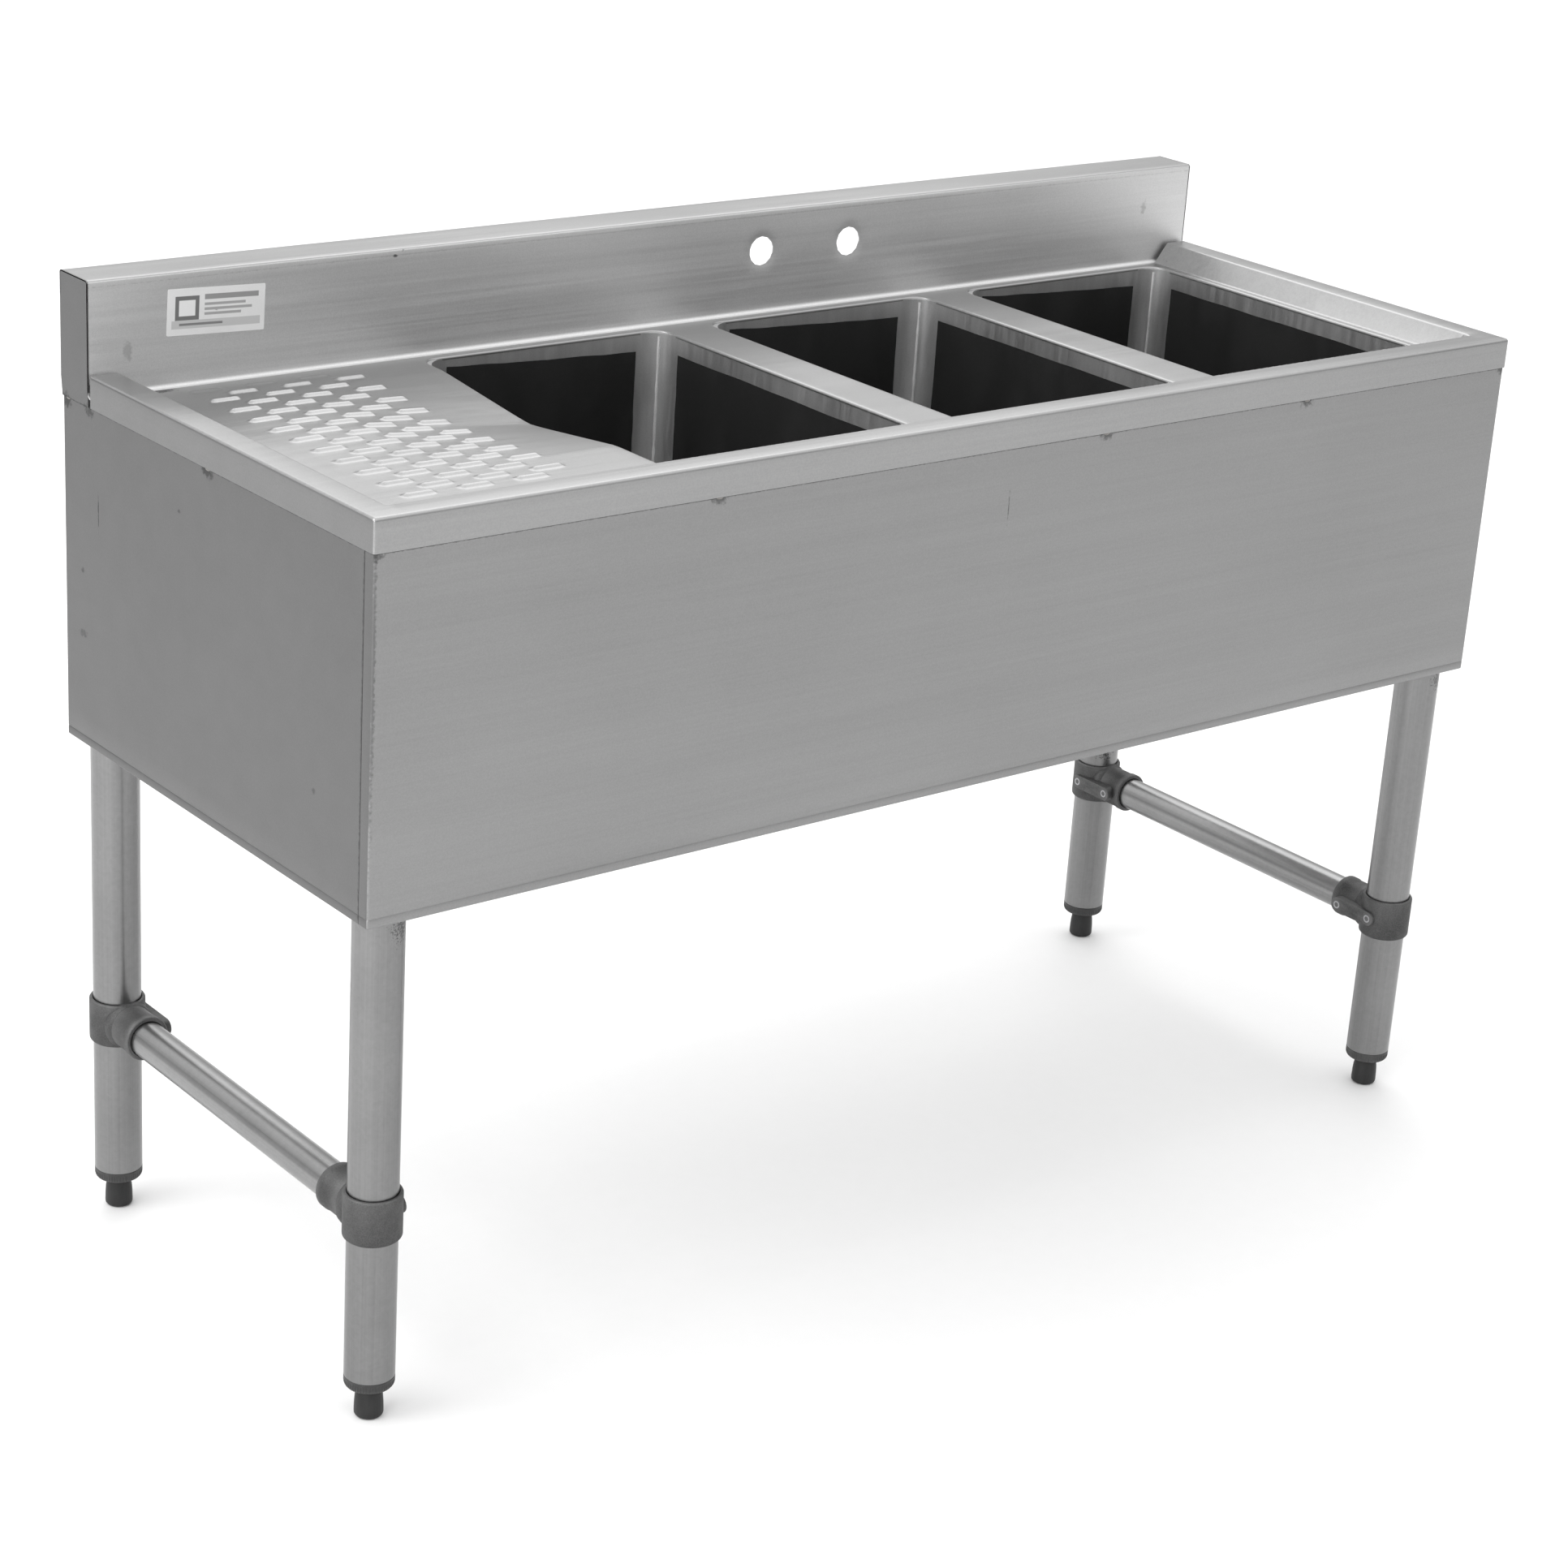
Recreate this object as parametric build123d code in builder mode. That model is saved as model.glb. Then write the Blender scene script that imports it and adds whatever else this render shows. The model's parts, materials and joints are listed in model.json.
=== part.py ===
from build123d import *
import os

# Three-bowl underbar sink with a drainboard on the left, standing on four tube legs.
# Millimetres. X runs along the front, left to right. Y runs from front to back. Z is up.
# The origin is on the floor, under the middle of the sink.

# Overall size
length = 1219.2
depth = 476.25
height = 838.2
rim_top = 762.0
deck_top = 743.0
apron_bottom = 440.5
sheet = 1.2

# Top sheet
skirt_height = 27.0
rim_width = 25.0
slope_width = 15.0
rim_bend = 3.0
opening_corner = 15.0

# Backsplash
splash_depth = 45.85
splash_lip = 20.0
splash_bend = 2.5
cove_radius = 4.0
faucet_hole_radius = 13.5
faucet_spacing = 101.6
faucet_centre_x = 121.7
faucet_height = 800.0

# Bowls
bowl_length = 254.0
bowl_width = 355.6
bowl_depth = 254.0
bowl_pitch = 305.0
bowl_right_margin = 48.2
bowl_back_ledge = 12.4
bowl_cove = 26.0
bowl_lip = 6.0
drain_hole_radius = 44.5
film_thickness = 0.3
film_drop = 17.0

# Drainboard
dish_start = 150.0
dish_drop = 12.6
dish_back_y = 402.0
dish_low_y = 246.0
dish_front_y = 134.0
dish_curve = 1.6
dish_least = 0.05
dish_steps = 5
bump_length = 32.0
bump_width = 9.0
bump_height = 1.5
bump_pitch_x = 51.0
bump_pitch_y = 16.04
bump_rows = 21
bumps_in_row = 3
bump_first_x = 94.5
bump_first_y = 409.5

# Aprons and under-frame
hem_width = 6.0
apron_lap = 18.0
side_apron_end = 474.0
side_flange = 14.0
channel_sheet = 1.5
channel_width = 50.0
channel_height = 16.0
rail_height = 45.0
rail_flange = 20.0

# Legs, braces and castings
leg_inset = 30.0
leg_radius = 20.64
tube_wall = 1.5
socket_radius = 24.0
socket_bottom = 443.0
socket_plate = 3.0
screw_radius = 4.0
screw_fit = 0.05
casting_fit = 0.1
tee_height = 182.0
collar_height = 38.0
collar_radius = 24.0
branch_radius = 20.0
branch_reach = 54.0
brace_radius = 15.88
boss_width = 16.0
boss_height = 21.0
boss_stand = 3.0

# Feet
foot_height = 27.0
foot_radius = 12.0
cap_height = 11.0
plug_height = 30.0
stud_radius = 6.35
stud_top = 62.0
stud_bottom = 8.0
thread_fit = 0.05
seat_gap = 0.05

# Drains
flange_radius = 57.0
flange_thickness = 1.5
cup_radius = 43.0
cup_depth = 50.0
cup_wall = 1.6
outlet_radius = 17.0
spud_radius = 22.0
spud_height = 15.0
gasket_thickness = 2.0
washer_thickness = 1.0
nut_radius = 53.0
nut_height = 12.0
tail_radius = 19.05
tail_wall = 1.2
tail_length = 95.0
tail_collar = 21.0
coupling_radius = 27.0
coupling_height = 18.0
coupling_clearance = 1.1
basket_radius = 41.0
basket_foot_radius = 35.0
basket_height = 30.0
basket_wall = 1.0
stem_radius = 3.0
stopper_radius = 24.0
knob_radius = 7.0

# Label
label_length = 90.4
label_height = 38.8
label_thickness = 0.2
label_x = 116.7
label_z = 803.3
label_tilt = -2.15

# Positions that follow from the sizes
left = -length / 2
right = length / 2
front = -depth / 2
back = depth / 2
skirt_bottom = rim_top - skirt_height
splash_front = back - splash_depth
bowl_back = splash_front - bowl_back_ledge
bowl_front = bowl_back - bowl_width
bowl_y = (bowl_back + bowl_front) / 2
bowl_floor = deck_top - bowl_depth
bowl_3_x = right - bowl_right_margin - bowl_length / 2
bowl_xs = [bowl_3_x - 2 * bowl_pitch, bowl_3_x - bowl_pitch, bowl_3_x]
bowl_1_left = bowl_xs[0] - bowl_length / 2
channel_top = bowl_floor - sheet
leg_top = channel_top - channel_sheet - socket_plate
leg_bottom = foot_height + cap_height
leg_left = left + leg_inset
leg_right = right - leg_inset
leg_front = front + leg_inset
leg_back = back - leg_inset
leg_places = {
    "front_left": (leg_left, leg_front),
    "front_right": (leg_right, leg_front),
    "back_left": (leg_left, leg_back),
    "back_right": (leg_right, leg_back),
}
sides = {"left": leg_left, "right": leg_right}

os.makedirs("parts", exist_ok=True)


def save(builder, name):
    """Names a finished piece and writes it to its own file."""
    builder.part.label = name
    export_step(builder.part, f"parts/{name}.step")


def dish_depth(x):
    """How far the valley of the drainboard lies below the deck, x from the left end."""
    run = (x - dish_start) / (bowl_1_left - left - dish_start)
    return dish_drop * max(0.0, run) ** dish_curve


def drain_surface(x, y):
    """Height of the drainboard, x from the left end and y from the front."""
    if y > dish_low_y:
        share = (dish_back_y - y) / (dish_back_y - dish_low_y)
    else:
        share = (y - dish_front_y) / (dish_low_y - dish_front_y)
    return deck_top - dish_depth(x) * min(1.0, max(0.0, share))


# ---------------------------------------------------------------------------
# Top sheet: rim with a turned-down skirt, flat deck, drainboard, three openings
# ---------------------------------------------------------------------------

# One raised drip bump of the drainboard, with its middle at the origin
with BuildPart() as bump:
    with BuildSketch(Plane.XY.offset(-sheet / 2)):
        SlotOverall(bump_length, bump_width)
    extrude(amount=bump_height + sheet / 2)
    fillet(bump.faces().sort_by(Axis.Z)[-1].edges(), bump_height * 0.8)

with BuildPart() as deck:
    with BuildSketch(Plane.XY.offset(skirt_bottom)):
        with Locations((0, (front + splash_front) / 2)):
            Rectangle(length, splash_front - front)
    extrude(amount=skirt_height)
    # The recess slopes down from the rim to the deck and stays open at the splash
    recess_end = splash_front + slope_width
    for level, margin in ((rim_top, rim_width), (deck_top, rim_width + slope_width)):
        with BuildSketch(Plane.XY.offset(level)):
            with Locations((0, (front + margin + recess_end) / 2)):
                Rectangle(length - 2 * margin, recess_end - front - margin)
    loft(mode=Mode.SUBTRACT)
    # Rounded bends along the outer top edges
    outer_top = (
        deck.edges()
        .group_by(Axis.Z)[-1]
        .filter_by(
            lambda e: abs(e.center().X) > right - 1 or e.center().Y < front + 1
        )
    )
    fillet(outer_top, rim_bend)
    # The block is hollowed to sheet thickness, open below and at the splash
    open_faces = deck.faces().sort_by(Axis.Z)[:1] + deck.faces().sort_by(Axis.Y)[-1:]
    offset(amount=-sheet, openings=open_faces)
    with BuildSketch(Plane.XY.offset(deck_top - 2 * sheet)):
        with Locations(*[(x, bowl_y) for x in bowl_xs]):
            RectangleRounded(bowl_length, bowl_width, opening_corner)
    extrude(amount=3 * sheet, mode=Mode.SUBTRACT)
    # The valley of the drainboard replaces a flat piece of the deck
    with BuildSketch(Plane.XY.offset(deck_top - sheet)):
        with Locations(
            (
                (left + dish_start + bowl_1_left) / 2,
                front + (dish_back_y + dish_front_y) / 2,
            )
        ):
            Rectangle(bowl_1_left - left - dish_start, dish_back_y - dish_front_y)
    extrude(amount=sheet, mode=Mode.SUBTRACT)
    for step in range(dish_steps + 1):
        x = dish_start + (bowl_1_left - left - dish_start) * step / dish_steps
        low = max(dish_least, dish_depth(x))
        with BuildSketch(Plane.YZ.offset(left + x)):
            with BuildLine():
                Polyline(
                    (front + dish_back_y, deck_top),
                    (front + dish_low_y, deck_top - low),
                    (front + dish_front_y, deck_top),
                    (front + dish_front_y, deck_top - sheet),
                    (front + dish_low_y, deck_top - sheet - low),
                    (front + dish_back_y, deck_top - sheet),
                    close=True,
                )
            make_face()
    loft(ruled=True)
    # Staggered rows of drip bumps
    for row in range(bump_rows):
        for column in range(bumps_in_row):
            x = bump_first_x + (column + 0.5 * (row % 2)) * bump_pitch_x
            y = bump_first_y - row * bump_pitch_y
            with Locations((left + x, front + y, drain_surface(x, y))):
                add(bump.part)
save(deck, "deck")

# ---------------------------------------------------------------------------
# Backsplash and its two welded end caps
# ---------------------------------------------------------------------------

with BuildPart() as backsplash:
    with BuildSketch(Plane.YZ.offset(left + sheet)):
        with Locations(((splash_front + back) / 2, (skirt_bottom + height) / 2)):
            Rectangle(splash_depth, height - skirt_bottom)
    extrude(amount=length - 2 * sheet)
    fillet(backsplash.edges().filter_by(Axis.X).group_by(Axis.Z)[-1], splash_bend)
    # Hollow behind, open below and above the floor of the lip at the back
    with BuildSketch(Plane.YZ.offset(left + sheet)):
        with Locations(
            (
                (splash_front + back) / 2,
                (skirt_bottom + height) / 2 - sheet,
            )
        ):
            Rectangle(splash_depth - 2 * sheet, height - skirt_bottom)
        with Locations((back, (skirt_bottom + height - splash_lip) / 2)):
            Rectangle(4 * sheet, height - splash_lip - skirt_bottom)
    extrude(amount=length - 2 * sheet, mode=Mode.SUBTRACT)
    # Cove where the splash meets the deck
    cove_end = rim_width + slope_width + 1
    with BuildSketch(Plane.YZ.offset(left + cove_end)):
        with Locations(
            (splash_front - cove_radius / 2, deck_top + cove_radius / 2)
        ):
            Rectangle(cove_radius, cove_radius)
        with Locations((splash_front - cove_radius, deck_top + cove_radius)):
            Circle(cove_radius, mode=Mode.SUBTRACT)
    extrude(amount=length - 2 * cove_end)
    with BuildSketch(Plane.XZ.offset(-splash_front + sheet)):
        with Locations((faucet_centre_x, faucet_height)):
            with GridLocations(faucet_spacing, 0, 2, 1):
                Circle(faucet_hole_radius)
    extrude(amount=-3 * sheet, mode=Mode.SUBTRACT)
save(backsplash, "backsplash")

for side, x in {"left": left, "right": right - sheet}.items():
    with BuildPart() as splash_end:
        with BuildSketch(Plane.YZ.offset(x)):
            with BuildLine():
                Polyline(
                    (splash_front, skirt_bottom),
                    (front + side_apron_end, skirt_bottom),
                    (back, skirt_bottom + 16),
                    (back, height),
                    (splash_front, height),
                    close=True,
                )
            make_face()
        extrude(amount=sheet)
        top_corners = splash_end.edges().filter_by(Axis.X).group_by(Axis.Z)[-1]
        fillet(top_corners, splash_bend)
    save(splash_end, f"splash_end_{side}")

# ---------------------------------------------------------------------------
# Bowls, with the protective film still on their flat walls
# ---------------------------------------------------------------------------

for number, x in enumerate(bowl_xs, start=1):
    with BuildPart() as bowl:
        with BuildSketch(Plane.XY.offset(bowl_floor - sheet)):
            with Locations((x, bowl_y)):
                RectangleRounded(
                    bowl_length + 2 * sheet,
                    bowl_width + 2 * sheet,
                    bowl_cove + sheet,
                )
        extrude(amount=bowl_depth)
        fillet(bowl.faces().sort_by(Axis.Z)[0].edges(), bowl_cove + sheet - 0.2)
        offset(amount=-sheet, openings=bowl.faces().sort_by(Axis.Z)[-1])
        # Lip that is welded to the underside of the deck
        with BuildSketch(Plane.XY.offset(deck_top - 2 * sheet)):
            with Locations((x, bowl_y)):
                RectangleRounded(
                    bowl_length + 2 * bowl_lip,
                    bowl_width + 2 * bowl_lip,
                    bowl_cove,
                )
                RectangleRounded(
                    bowl_length, bowl_width, bowl_cove, mode=Mode.SUBTRACT
                )
        extrude(amount=sheet)
        with BuildSketch(Plane.XY.offset(bowl_floor - 2 * sheet)):
            with Locations((x, bowl_y)):
                Circle(drain_hole_radius)
        extrude(amount=3 * sheet, mode=Mode.SUBTRACT)
        # The first bowl's left wall is cut down under the drainboard's valley
        if number == 1:
            with BuildSketch(Plane.YZ.offset(x - bowl_length / 2 - 2 * bowl_lip)):
                with BuildLine():
                    Polyline(
                        (front + dish_back_y, deck_top - sheet),
                        (front + dish_low_y, deck_top - sheet - dish_drop),
                        (front + dish_front_y, deck_top - sheet),
                        (front + dish_front_y, deck_top + sheet),
                        (front + dish_back_y, deck_top + sheet),
                        close=True,
                    )
                make_face()
            extrude(amount=3 * bowl_lip, mode=Mode.SUBTRACT)
    save(bowl, f"bowl_{number}")

film_bottom = bowl_floor + bowl_cove
film_top = deck_top - film_drop
with BuildPart() as bowl_films:
    with BuildSketch(Plane.XY.offset(film_bottom)):
        with Locations(*[(x, bowl_y) for x in bowl_xs]):
            with GridLocations(0, bowl_width - film_thickness, 1, 2):
                Rectangle(bowl_length - 2 * bowl_cove, film_thickness)
            with GridLocations(bowl_length - film_thickness, 0, 2, 1):
                Rectangle(film_thickness, bowl_width - 2 * bowl_cove)
    extrude(amount=film_top - film_bottom)
save(bowl_films, "bowl_films")

# ---------------------------------------------------------------------------
# Aprons, rear rail and the channels that carry the legs
# ---------------------------------------------------------------------------

with BuildPart() as front_apron:
    with BuildSketch(Plane.XY.offset(apron_bottom)):
        with Locations((0, front + 1.5 * sheet)):
            Rectangle(length - 2 * sheet, sheet)
    extrude(amount=skirt_bottom + apron_lap - apron_bottom)
    # Hem turned in along the bottom edge
    with BuildSketch(Plane.XY.offset(apron_bottom)):
        with Locations((0, front + sheet + hem_width / 2)):
            Rectangle(length - 4 * sheet - 2 * hem_width, hem_width)
    extrude(amount=sheet)
save(front_apron, "front_apron")

for side, sign in {"left": -1, "right": 1}.items():
    face_x = sign * (right - 1.5 * sheet)
    with BuildPart() as side_apron:
        run_start = front + 2 * sheet
        run_end = front + side_apron_end
        with BuildSketch(Plane.XY.offset(apron_bottom)):
            with Locations((face_x, (run_start + run_end) / 2)):
                Rectangle(sheet, run_end - run_start)
        extrude(amount=skirt_bottom - apron_bottom)
        with BuildSketch(Plane.XY.offset(skirt_bottom)):
            with Locations((face_x, (run_start + splash_front) / 2)):
                Rectangle(sheet, splash_front - run_start)
        extrude(amount=apron_lap)
        with BuildSketch(Plane.XY.offset(apron_bottom)):
            with Locations(
                (
                    sign * (right - sheet - hem_width / 2),
                    (run_start + run_end) / 2,
                )
            ):
                Rectangle(hem_width, run_end - run_start)
        extrude(amount=sheet)
        # Flange turned in along the rear edge
        with BuildSketch(Plane.XY.offset(apron_bottom)):
            with Locations(
                (sign * (right - sheet - side_flange / 2), run_end - sheet / 2)
            ):
                Rectangle(side_flange, sheet)
        extrude(amount=skirt_bottom - apron_bottom)
    save(side_apron, f"side_apron_{side}")

# The rail is a channel that opens backward, on the ends of the leg channels
rail_back = front + side_apron_end - sheet
rail_bottom = channel_top
with BuildPart() as rear_rail:
    with BuildSketch(Plane.YZ.offset(left + 2 * sheet)):
        with Locations((rail_back - rail_flange / 2, rail_bottom + rail_height / 2)):
            Rectangle(rail_flange, rail_height)
        with Locations(
            (
                rail_back - rail_flange / 2 + channel_sheet,
                rail_bottom + rail_height / 2,
            )
        ):
            Rectangle(
                rail_flange, rail_height - 2 * channel_sheet, mode=Mode.SUBTRACT
            )
    extrude(amount=length - 4 * sheet)
save(rear_rail, "rear_rail")

for side, x in sides.items():
    with BuildPart() as leg_channel:
        channel_front = front + 2 * sheet
        with BuildSketch(Plane.XZ.offset(-channel_front)):
            with Locations((x, channel_top - channel_height / 2)):
                Rectangle(channel_width, channel_height)
            with Locations((x, channel_top - channel_height / 2 - channel_sheet)):
                Rectangle(
                    channel_width - 2 * channel_sheet,
                    channel_height,
                    mode=Mode.SUBTRACT,
                )
        extrude(amount=channel_front - rail_back)
    save(leg_channel, f"leg_channel_{side}")

# ---------------------------------------------------------------------------
# Legs, the sockets they stand in, and the sockets' set screws
# ---------------------------------------------------------------------------

socket_screw_height = (socket_bottom + leg_top - 20) / 2
socket_wall = socket_radius - leg_radius

for place, (x, y) in leg_places.items():
    with BuildPart() as socket:
        with BuildSketch(Plane.XY.offset(socket_bottom)):
            with Locations((x, y)):
                Circle(socket_radius - socket_wall / 2)
        extrude(amount=leg_top + socket_plate - socket_bottom)
        with BuildSketch(Plane.XY.offset(socket_bottom)):
            with Locations((x, y)):
                Circle(socket_radius)
        extrude(amount=leg_top - 20 - socket_bottom)
        with BuildSketch(Plane.XY.offset(socket_bottom)):
            with Locations((x, y)):
                Circle(leg_radius + casting_fit)
        extrude(amount=leg_top - socket_bottom, mode=Mode.SUBTRACT)
        # Threaded hole for the set screw, towards the middle of the sink
        with BuildSketch(Plane.YZ.offset(x)):
            with Locations((y, socket_screw_height)):
                Circle(screw_radius + screw_fit)
        toward = -1 if x > 0 else 1
        extrude(amount=toward * 2 * socket_radius, mode=Mode.SUBTRACT)
    save(socket, f"leg_socket_{place}")

    with BuildPart() as leg:
        with BuildSketch(Plane.XY.offset(leg_bottom)):
            with Locations((x, y)):
                Circle(leg_radius)
                Circle(leg_radius - tube_wall, mode=Mode.SUBTRACT)
        extrude(amount=leg_top - leg_bottom)
    save(leg, f"leg_{place}")


def set_screw(x, y, z, toward, start, end):
    """A hex-socket set screw along X, from start to end away from the tube's axis."""
    with BuildPart() as screw:
        with BuildSketch(Plane.YZ.offset(x + toward * start)):
            with Locations((y, z)):
                Circle(screw_radius)
        extrude(amount=toward * (end - start))
        with BuildSketch(Plane.YZ.offset(x + toward * end)):
            with Locations((y, z)):
                RegularPolygon(screw_radius * 0.55, 6)
        extrude(amount=-toward * (end - start) / 2, mode=Mode.SUBTRACT)
    return screw.part


with BuildPart() as socket_screws:
    for x, y in leg_places.values():
        toward = -1 if x > 0 else 1
        screw_end = socket_radius + 2
        add(set_screw(x, y, socket_screw_height, toward, leg_radius, screw_end))
save(socket_screws, "socket_screws")

# ---------------------------------------------------------------------------
# Cast tees near the foot of each leg, their screws, and the two cross braces
# ---------------------------------------------------------------------------

boss_face = branch_radius + boss_stand
boss_reach = branch_reach - boss_width / 2 - 3
tee_screw_ys = (0.0, branch_reach - 14.0)

for place, (x, y) in leg_places.items():
    along = 1 if y < 0 else -1
    toward = -1 if x > 0 else 1
    with BuildPart() as tee:
        with BuildSketch(Plane.XY.offset(tee_height - collar_height / 2)):
            with Locations((x, y)):
                Circle(collar_radius)
        extrude(amount=collar_height)
        with BuildSketch(Plane.XZ.offset(-y)):
            with Locations((x, tee_height)):
                Circle(branch_radius)
        extrude(amount=-along * branch_reach)
        # Flat boss along the inner side, where the screws go in
        with BuildSketch(Plane.YZ.offset(x)):
            with Locations((y + along * boss_reach / 2, tee_height)):
                SlotOverall(boss_reach + boss_height, boss_width)
        extrude(amount=toward * (collar_radius + boss_stand))
        with BuildSketch(Plane.XY.offset(tee_height - collar_height)):
            with Locations((x, y)):
                Circle(leg_radius + casting_fit)
        extrude(amount=2 * collar_height, mode=Mode.SUBTRACT)
        with BuildSketch(Plane.XZ.offset(-y)):
            with Locations((x, tee_height)):
                Circle(brace_radius + casting_fit)
        extrude(amount=-along * 2 * branch_reach, mode=Mode.SUBTRACT)
        with BuildSketch(Plane.YZ.offset(x)):
            with Locations(*[(y + along * run, tee_height) for run in tee_screw_ys]):
                Circle(screw_radius + screw_fit)
        extrude(amount=toward * 2 * collar_radius, mode=Mode.SUBTRACT)
    save(tee, f"tee_{place}")

with BuildPart() as tee_screws:
    for x, y in leg_places.values():
        along = 1 if y < 0 else -1
        toward = -1 if x > 0 else 1
        screw_end = collar_radius + boss_stand - 1
        for run, start in zip(tee_screw_ys, (leg_radius, brace_radius)):
            screw_y = y + along * run
            add(set_screw(x, screw_y, tee_height, toward, start, screw_end))
save(tee_screws, "tee_screws")

brace_end = leg_radius + 2
for side, x in sides.items():
    with BuildPart() as brace:
        with BuildSketch(Plane.XZ.offset(-leg_front - brace_end)):
            with Locations((x, tee_height)):
                Circle(brace_radius)
                Circle(brace_radius - tube_wall, mode=Mode.SUBTRACT)
        extrude(amount=-(leg_back - leg_front - 2 * brace_end))
    save(brace, f"cross_brace_{side}")

# ---------------------------------------------------------------------------
# Feet: a capped plug in each leg, a threaded stud, and the foot that turns
# ---------------------------------------------------------------------------

for place, (x, y) in leg_places.items():
    with BuildPart() as foot_insert:
        with BuildSketch(Plane.XY.offset(foot_height)):
            with Locations((x, y)):
                Circle(leg_radius)
        extrude(amount=cap_height)
        fillet(foot_insert.faces().sort_by(Axis.Z)[0].edges(), cap_height * 0.45)
        with BuildSketch(Plane.XY.offset(leg_bottom)):
            with Locations((x, y)):
                Circle(leg_radius - tube_wall)
        extrude(amount=plug_height)
        with BuildSketch(Plane.XY.offset(foot_height)):
            with Locations((x, y)):
                Circle(stud_radius + thread_fit)
        extrude(amount=cap_height + plug_height, mode=Mode.SUBTRACT)
    save(foot_insert, f"foot_insert_{place}")

    with BuildPart() as foot_stud:
        with BuildSketch(Plane.XY.offset(stud_bottom)):
            with Locations((x, y)):
                Circle(stud_radius)
        extrude(amount=stud_top - stud_bottom)
        chamfer(foot_stud.faces().sort_by(Axis.Z)[-1].edges(), 1)
    save(foot_stud, f"foot_stud_{place}")

    # The foot narrows a little to its neck, and its sole is rounded
    with BuildPart() as foot:
        with BuildSketch(Plane.XZ.offset(-y)):
            with BuildLine():
                Polyline(
                    (x + stud_radius + thread_fit, foot_height - seat_gap),
                    (x + foot_radius - 1, foot_height - seat_gap),
                    (x + foot_radius - 1, foot_height * 0.72),
                    (x + foot_radius - 0.4, foot_height * 0.72 - 2),
                    (x + foot_radius, foot_height * 0.2),
                    (x + foot_radius - 2.5, 0),
                    (x, 0),
                    (x, stud_bottom - thread_fit),
                    (x + stud_radius + thread_fit, stud_bottom - thread_fit),
                    close=True,
                )
            make_face()
        revolve(axis=Axis((x, y, 0), (0, 0, 1)))
    save(foot, f"foot_{place}")

# ---------------------------------------------------------------------------
# Drains: body, gasket, washer, locknut, tailpiece, coupling nut and basket
# ---------------------------------------------------------------------------

cup_bottom = bowl_floor - cup_depth
nut_top = bowl_floor - sheet - gasket_thickness - washer_thickness
spud_bottom = cup_bottom - spud_height
basket_bottom = cup_bottom + cup_wall + 9
basket_top = basket_bottom + basket_height
slot_count = 12
slot_ring = 22.0

for number, x in enumerate(bowl_xs, start=1):
    with BuildPart() as drain_body:
        with BuildSketch(Plane.XY.offset(bowl_floor)):
            with Locations((x, bowl_y)):
                Circle(flange_radius)
        extrude(amount=flange_thickness)
        fillet(drain_body.faces().sort_by(Axis.Z)[-1].edges(), flange_thickness * 0.6)
        with BuildSketch(Plane.XY.offset(cup_bottom)):
            with Locations((x, bowl_y)):
                Circle(cup_radius)
        extrude(amount=cup_depth)
        with BuildSketch(Plane.XY.offset(cup_bottom + cup_wall)):
            with Locations((x, bowl_y)):
                Circle(cup_radius - cup_wall)
        extrude(amount=cup_depth + flange_thickness, mode=Mode.SUBTRACT)
        with BuildSketch(Plane.XY.offset(spud_bottom)):
            with Locations((x, bowl_y)):
                Circle(spud_radius)
        extrude(amount=spud_height)
        with BuildSketch(Plane.XY.offset(spud_bottom)):
            with Locations((x, bowl_y)):
                Circle(outlet_radius)
        extrude(amount=spud_height + cup_wall, mode=Mode.SUBTRACT)
    save(drain_body, f"drain_body_{number}")

    # Strainer basket with slots in its floor and a lift knob
    with BuildPart() as basket:
        with BuildSketch(Plane.XZ.offset(-bowl_y)):
            with BuildLine():
                Polyline(
                    (x, basket_bottom),
                    (x + basket_foot_radius, basket_bottom),
                    (x + basket_radius, basket_top),
                    (x + basket_radius - basket_wall, basket_top),
                    (x + basket_foot_radius - basket_wall, basket_bottom + basket_wall),
                    (x + stem_radius, basket_bottom + basket_wall),
                    (x + stem_radius, basket_top - 1),
                    (x + knob_radius, basket_top - 1),
                    (x + knob_radius, basket_top + 4),
                    (x + knob_radius - 3, basket_top + 7),
                    (x, basket_top + 7),
                    close=True,
                )
            make_face()
        revolve(axis=Axis((x, bowl_y, 0), (0, 0, 1)))
        with BuildSketch(Plane.XY.offset(basket_bottom)):
            with Locations((x, bowl_y)):
                with PolarLocations(slot_ring, slot_count):
                    SlotOverall(14, 3.5)
        extrude(amount=basket_wall, mode=Mode.SUBTRACT)
    save(basket, f"strainer_basket_{number}")

    # Rubber stopper under the basket, held clear of the drain's floor
    with BuildPart() as stopper:
        with BuildSketch(Plane.XY.offset(basket_bottom - 8)):
            with Locations((x, bowl_y)):
                Circle(stopper_radius)
        extrude(amount=3.5)
        with BuildSketch(Plane.XY.offset(basket_bottom - 4.5)):
            with Locations((x, bowl_y)):
                Circle(6)
        extrude(amount=4.5)
    save(stopper, f"basket_stopper_{number}")


def rings(bottom, ring_height, inner, outer):
    """One ring at each drain, all in one group."""
    with BuildPart() as group:
        with BuildSketch(Plane.XY.offset(bottom)):
            with Locations(*[(x, bowl_y) for x in bowl_xs]):
                Circle(outer)
                Circle(inner, mode=Mode.SUBTRACT)
        extrude(amount=ring_height)
    return group


drain_gaskets = rings(
    nut_top + washer_thickness, gasket_thickness, cup_radius + 1.2, nut_radius
)
save(drain_gaskets, "drain_gaskets")

friction_washers = rings(nut_top, washer_thickness, cup_radius + 0.6, nut_radius - 1)
save(friction_washers, "friction_washers")

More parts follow.
